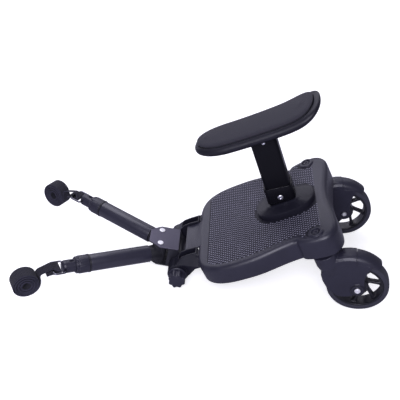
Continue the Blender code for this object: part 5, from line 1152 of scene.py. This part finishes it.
def collar_shell():
    """Collar whose front lip has twelve notches: its radius dips by a narrow bump of cos 12a."""
    line = [(15.2, -165.6), (19.2, -165.6), (19.2, -186.5), (18.1, -187.8), (18.1, -191.8),
            (16.8, -193.6), (14.5, -193.6), (14.5, -165.6)]
    points, faces = turned(line, "x", 192, closed=True, ease=0.6, ease_steps=4)
    angle = np.arctan2(points[:, 2], points[:, 1])
    radius = np.hypot(points[:, 1], points[:, 2])
    near_lip = ((LIP_X - points[:, 0]) / 1.5).clip(0, 1) * (radius > 16)
    dip = np.cos(NOTCHES * angle).clip(0) ** 6 * near_lip * NOTCH_DEPTH
    points[:, 1:] *= (1 - dip / radius)[:, None]
    return points, faces


barrel = fluted(14.9, 0.6, 22, -21.45, 23.45, 0.8, 264, False)
neck_line = [(0, 0), (16.5, 0), (16.5, -24.7), (15.7, -24.7), (15.7, -60), (0, -60)]
neck = turned(neck_line, "x", 64, ease=0.5)
wide_tube = pipe(18.5, 16, TUBE_START, TUBE_END, 0.9)
trim_ring = pipe(19.8, 14.4, TUBE_END + 0.3, RING_END, 0.6)
narrow_tube = pipe(14, 12.2, INNER_START, INNER_END)
collar = collar_shell()
for side in SIDES:
    at = ARM[side]
    piece(f"arm_knuckle_{side}_barrel", [barrel, neck], at, NYLON, f"arm_knuckle_{side}")
    piece(f"arm_tube_{side}_coated", [wide_tube], at, TUBE_COAT, f"arm_tube_{side}")
    piece(f"trim_ring_{side}_band", [trim_ring], at, NYLON, f"trim_ring_{side}")
    piece(f"lock_collar_{side}_notched", [collar], at, BLACK, f"lock_collar_{side}", smooth=35)
    piece(f"inner_tube_{side}_coated", [narrow_tube], at, TUBE_COAT, f"inner_tube_{side}")
    moulding(f"end_fitting_{side}_moulding", f"end_fitting_{side}", BLACK, 0.6, 5)

# %% [markdown]
# The ring is a loop of steel wire, a round section carried along a rounded rectangle. The strap
# goes through it: a flat herringbone band that is folded over the far bar and wound into a roll.
# Its middle line is drawn once and the band's section is carried along it, so the length of
# webbing is real and the weave can follow it. Between ring and roll the band is pulled together,
# as webbing is where it is folded, and on the left it is twisted a little too.

# %% Rings and straps


RING_LENGTH, RING_WIDTH, RING_CORNER, WIRE = 26, 38, 5, 2
ROLL_CENTRE, ROLL_OUTER, ROLL_INNER = np.array([-55, -24]), 28.9, 8
ROLL_TURNS, TURN_STEPS, ROLL_ENTRY, LEAD_BEND = 7, 44, 22, 9
WEB_THICKNESS, WEB_WIDTH, WEB_CORNER, WANDER = 2.0, 30, 0.85, 0.9


def wire_ring():
    """The rounded rectangle's line, with a circle across it: normals point outwards and along Y-Z."""
    line = round_rectangle(RING_LENGTH, RING_WIDTH, RING_CORNER, 10) - [RING_LENGTH / 2, 0]
    ahead = np.roll(line, -1, axis=0) - np.roll(line, 1, axis=0)
    ahead /= np.linalg.norm(ahead, axis=1)[:, None]
    zero = np.zeros(len(line))
    path = np.column_stack([line, zero])
    normal = np.column_stack([ahead[:, 1], -ahead[:, 0], zero])
    up = np.tile([0.0, 0.0, 1.0], (len(line), 1))
    return carried(path, normal, up, circle(WIRE, 20), closed=True)


def strap_line():
    """Middle line in X and Z: tail, fold round the bar, arch, bend, and an even spiral inwards."""
    tail = np.array([(-14, -6.4), (-7, -4.4), (0, -3.4)])
    fold = arc_points((13, 0), 3.4, -90, 90, 14)
    arch = np.array([(6.6, 5.65), (2.2, 7.9), (-3.3, 7.45)])
    lead = eased(np.concatenate([tail, fold, arch]), 1.5, 3, closed=False)
    entry = np.radians(ROLL_ENTRY)
    middle = ROLL_CENTRE + (ROLL_OUTER + LEAD_BEND) * np.array([np.cos(entry), np.sin(entry)])
    away = arch[-1] - middle
    start = np.degrees(np.arctan2(away[1], away[0]) + np.arccos(LEAD_BEND / np.hypot(*away)))
    curve = arc_points(middle, LEAD_BEND, start, 180 + ROLL_ENTRY, 10)
    turn = np.linspace(0, ROLL_TURNS, ROLL_TURNS * TURN_STEPS + 1)[1:]
    radius = ROLL_OUTER + (ROLL_INNER - ROLL_OUTER) * turn / ROLL_TURNS
    angle = entry - 2 * np.pi * turn
    radius = radius + 0.3 * np.sin(np.pi * turn) * np.minimum(turn, 1)
    roll = ROLL_CENTRE + radius[:, None] * np.column_stack([np.cos(angle), np.sin(angle)])
    return np.concatenate([lead, curve, roll])


def band_section():
    """The webbing's section: a round rectangle with nine more points along each of its flats."""
    upper, lower = np.split(round_rectangle(WEB_THICKNESS, WEB_WIDTH, WEB_CORNER, 4), 2)
    across = np.linspace(-13, 13, 11)[1:-1]
    flat = np.column_stack([np.full(len(across), WEB_THICKNESS / 2), across])
    return np.concatenate([upper, -flat, lower, flat])


def strap_shell(waist, twist):
    """The band's section carried along its middle line, and the run of the webbing at each ring.

    Between fold and roll the half width w falls to waist w by a smooth step s^2 (3 - 2s) of the
    run, up and down again, and the band turns about its own line by twist times the same step.
    In the roll its turns wander a little to either side.
    """
    line = strap_line()
    path = np.column_stack([line[:, 0], np.zeros(len(line)), line[:, 1]])
    ahead = np.gradient(path, axis=0)
    ahead /= np.linalg.norm(ahead, axis=1)[:, None]
    run = np.concatenate([[0], np.cumsum(np.linalg.norm(np.diff(path, axis=0), axis=1))])
    rise, fall = ((run - 36) / 14).clip(0, 1), ((112 - run) / 34).clip(0, 1)
    hump = (rise * fall) ** 2 * (3 - 2 * rise * fall)
    normal = np.column_stack([-ahead[:, 2], np.zeros(len(line)), ahead[:, 0]])
    side_way = np.tile([0.0, 1.0, 0.0], (len(line), 1))
    turn = np.radians(twist) * hump[:, None]
    up = normal * np.cos(turn) + side_way * np.sin(turn)
    across = side_way * np.cos(turn) - normal * np.sin(turn)
    narrow = 1 - (1 - waist) * hump
    begin = run[-ROLL_TURNS * TURN_STEPS - 1]
    share = ((run - begin) / (run[-1] - begin)).clip(0, 1)
    path[:, 1] = WANDER * np.sin(ROLL_TURNS * np.pi * (1 - (1 - share) ** 0.6)) * (share > 0)
    section = band_section()
    return carried(path, up, across * narrow[:, None], section), run, section


def weave_map(made, runs, sides):
    """UV map "weave": the run along the webbing and the place across it, in metres, per vertex."""
    mesh = made.data
    corner = np.empty(len(mesh.loops), int)
    mesh.loops.foreach_get("vertex_index", corner)
    layer = mesh.uv_layers.new(name="weave")
    layer.data.foreach_set("uv", np.column_stack([runs[corner], sides[corner]]).ravel())


for side, waist, twist in (("left", 0.6, 18), ("right", 0.5, -15)):
    piece(f"steel_ring_{side}_wire", [wire_ring()], RING[side], DARK_STEEL,
          f"steel_ring_{side}", smooth=60)
    shell, run, section = strap_shell(waist, twist)
    band = piece(f"strap_{side}_webbing", [shell], STRAP[side], WEBBING,
                 f"strap_{side}", smooth=50, weld=False)
    weave_map(band, np.repeat(run, len(section)) * MM, np.tile(section[:, 1], len(run)) * MM)
    print(f"webbing on the {side}: {run[-1]:.0f} mm long")

# %% [markdown]
# What is left of the CAD solids is small, turned and mostly hidden: bushes, nuts, screws, the
# axle and its spacers. They keep their shapes and get their finishes.

# %% Finishes for the CAD solids that stay
for node, made in frame["nodes"].items():
    steel = any(word in node for word in ("bolt", "nut", "screw", "axle", "pin"))
    made.data.materials.clear()
    made.data.materials.append(STEEL if steel else NYLON)
for name in ("hinge_spacer_left", "hinge_spacer_right"):
    frame["nodes"][name].data.materials[0] = BLACK
for name in ("hinge_axle", "cheek_screw_left", "cheek_screw_right"):
    frame["nodes"][name].data.materials[0] = DARK_STEEL

# %% [markdown]
# The camera stands in front of the board's left side, above the arms, as a product camera does.
# Its place, in metres in the deck's frame, and its turn in degrees were worked out from the
# photograph: the wheels' centres, the deck's outline and the arms' ends were matched with their
# places on the model.

# %% Camera
lens = bpy.data.cameras.new("product_lens")
lens.sensor_width, lens.lens = 36.0, 67.5
lens.clip_start, lens.clip_end = 0.05, 20
lens.dof.use_dof = False
camera = bpy.data.objects.new("product_camera", lens)
CAMERA_PLACE = (0.207189, -1.324645, 0.877502)
CAMERA_TURN = np.radians([56.9242, 24.4365, 2.8303])
view = Matrix.Translation(CAMERA_PLACE) @ Euler(CAMERA_TURN).to_matrix().to_4x4()
camera.matrix_world = Matrix(BOARD.tolist()) @ view
bpy.context.scene.collection.objects.link(camera)
bpy.context.scene.camera = camera

# %% [markdown]
# The photograph is a cut-out on white, lit softly from above. The floor is a plain pale sheet:
# the camera sees it as white, but it still takes the object's shadow and throws light back up.
# Four large area lights do the rest: one above, two behind that draw the long highlights on the
# tubes, the hoods and the deck's rim, and a broad weak one in front that fills the shadows.

# %% Floor and light


def area_light(name, size, power, place, target=(0, 0, 0.12), width=None):
    """Rectangular soft light at a place, turned to a target: its own Z points away from it."""
    lamp = bpy.data.lights.new(name, "AREA")
    lamp.shape = "RECTANGLE"
    lamp.size, lamp.size_y, lamp.energy = width or size, size, power
    lamp.color = (0.88, 0.865, 1.0)
    made = bpy.data.objects.new(name, lamp)
    away = np.array(place, float) - np.array(target, float)
    z = away / np.linalg.norm(away)
    x = np.cross((0, 0, 1), z) if abs(z[2]) < 0.99 else np.array([1.0, 0, 0])
    x /= np.linalg.norm(x)
    turn = np.eye(4)
    turn[:3] = np.column_stack([x, np.cross(z, x), z, place])
    made.matrix_world = Matrix(turn.tolist())
    bpy.context.scene.collection.objects.link(made)


sheet = bpy.data.meshes.new("studio_floor")
sheet.from_pydata([(-6, -6, 0), (6, -6, 0), (6, 6, 0), (-6, 6, 0)], [], [(0, 1, 2, 3)])
studio = bpy.data.objects.new("studio_floor", sheet)
bpy.context.scene.collection.objects.link(studio)
paper = bpy.data.materials.new("white_paper")
paper.use_nodes = True
tree = paper.node_tree
diffuse = tree.nodes["Principled BSDF"]
diffuse.inputs["Base Color"].default_value = (0.82, 0.82, 0.83, 1)
diffuse.inputs["Roughness"].default_value = 0.9
diffuse.inputs["Specular IOR Level"].default_value = 0.0
diffuse.inputs["Emission Color"].default_value = (1, 1, 1, 1)
diffuse.inputs["Emission Strength"].default_value = 0.62
dim = tree.nodes.new("ShaderNodeBsdfDiffuse")
dim.inputs["Color"].default_value = (0.46, 0.455, 0.53, 1)
pick = tree.nodes.new("ShaderNodeMixShader")
tree.links.new(tree.nodes.new("ShaderNodeLightPath").outputs["Is Camera Ray"], pick.inputs["Fac"])
tree.links.new(dim.outputs["BSDF"], pick.inputs[1])
tree.links.new(diffuse.outputs["BSDF"], pick.inputs[2])
tree.links.new(pick.outputs["Shader"], tree.nodes["Material Output"].inputs["Surface"])
sheet.materials.append(paper)

world = bpy.data.worlds.new("studio_air")
world.use_nodes = True
bpy.context.scene.world = world
nodes, links = world.node_tree.nodes, world.node_tree.links
seen = nodes.new("ShaderNodeBackground")
seen.inputs["Color"].default_value = (1, 1, 1, 1)
seen.inputs["Strength"].default_value = 1.0
air = nodes["Background"]
air.inputs["Color"].default_value = (0.86, 0.85, 1.0, 1)
air.inputs["Strength"].default_value = 0.2
choose = nodes.new("ShaderNodeMixShader")
links.new(nodes.new("ShaderNodeLightPath").outputs["Is Camera Ray"], choose.inputs["Fac"])
links.new(air.outputs["Background"], choose.inputs[1])
links.new(seen.outputs["Background"], choose.inputs[2])
links.new(choose.outputs["Shader"], nodes["World Output"].inputs["Surface"])

area_light("key_above", 1.4, 20, (-0.6, 0.8, 1.9), width=1.5)
area_light("sheen_back", 0.8, 8, (0.1, 1.9, 1.15), width=2.4)
area_light("low_left", 0.8, 7.5, (-1.6, 1.9, 0.75), width=1.8)
area_light("fill_left", 1.2, 54, (-0.15, -2.0, 1.6), width=1.5)
bpy.context.scene.view_settings.view_transform = "Standard"
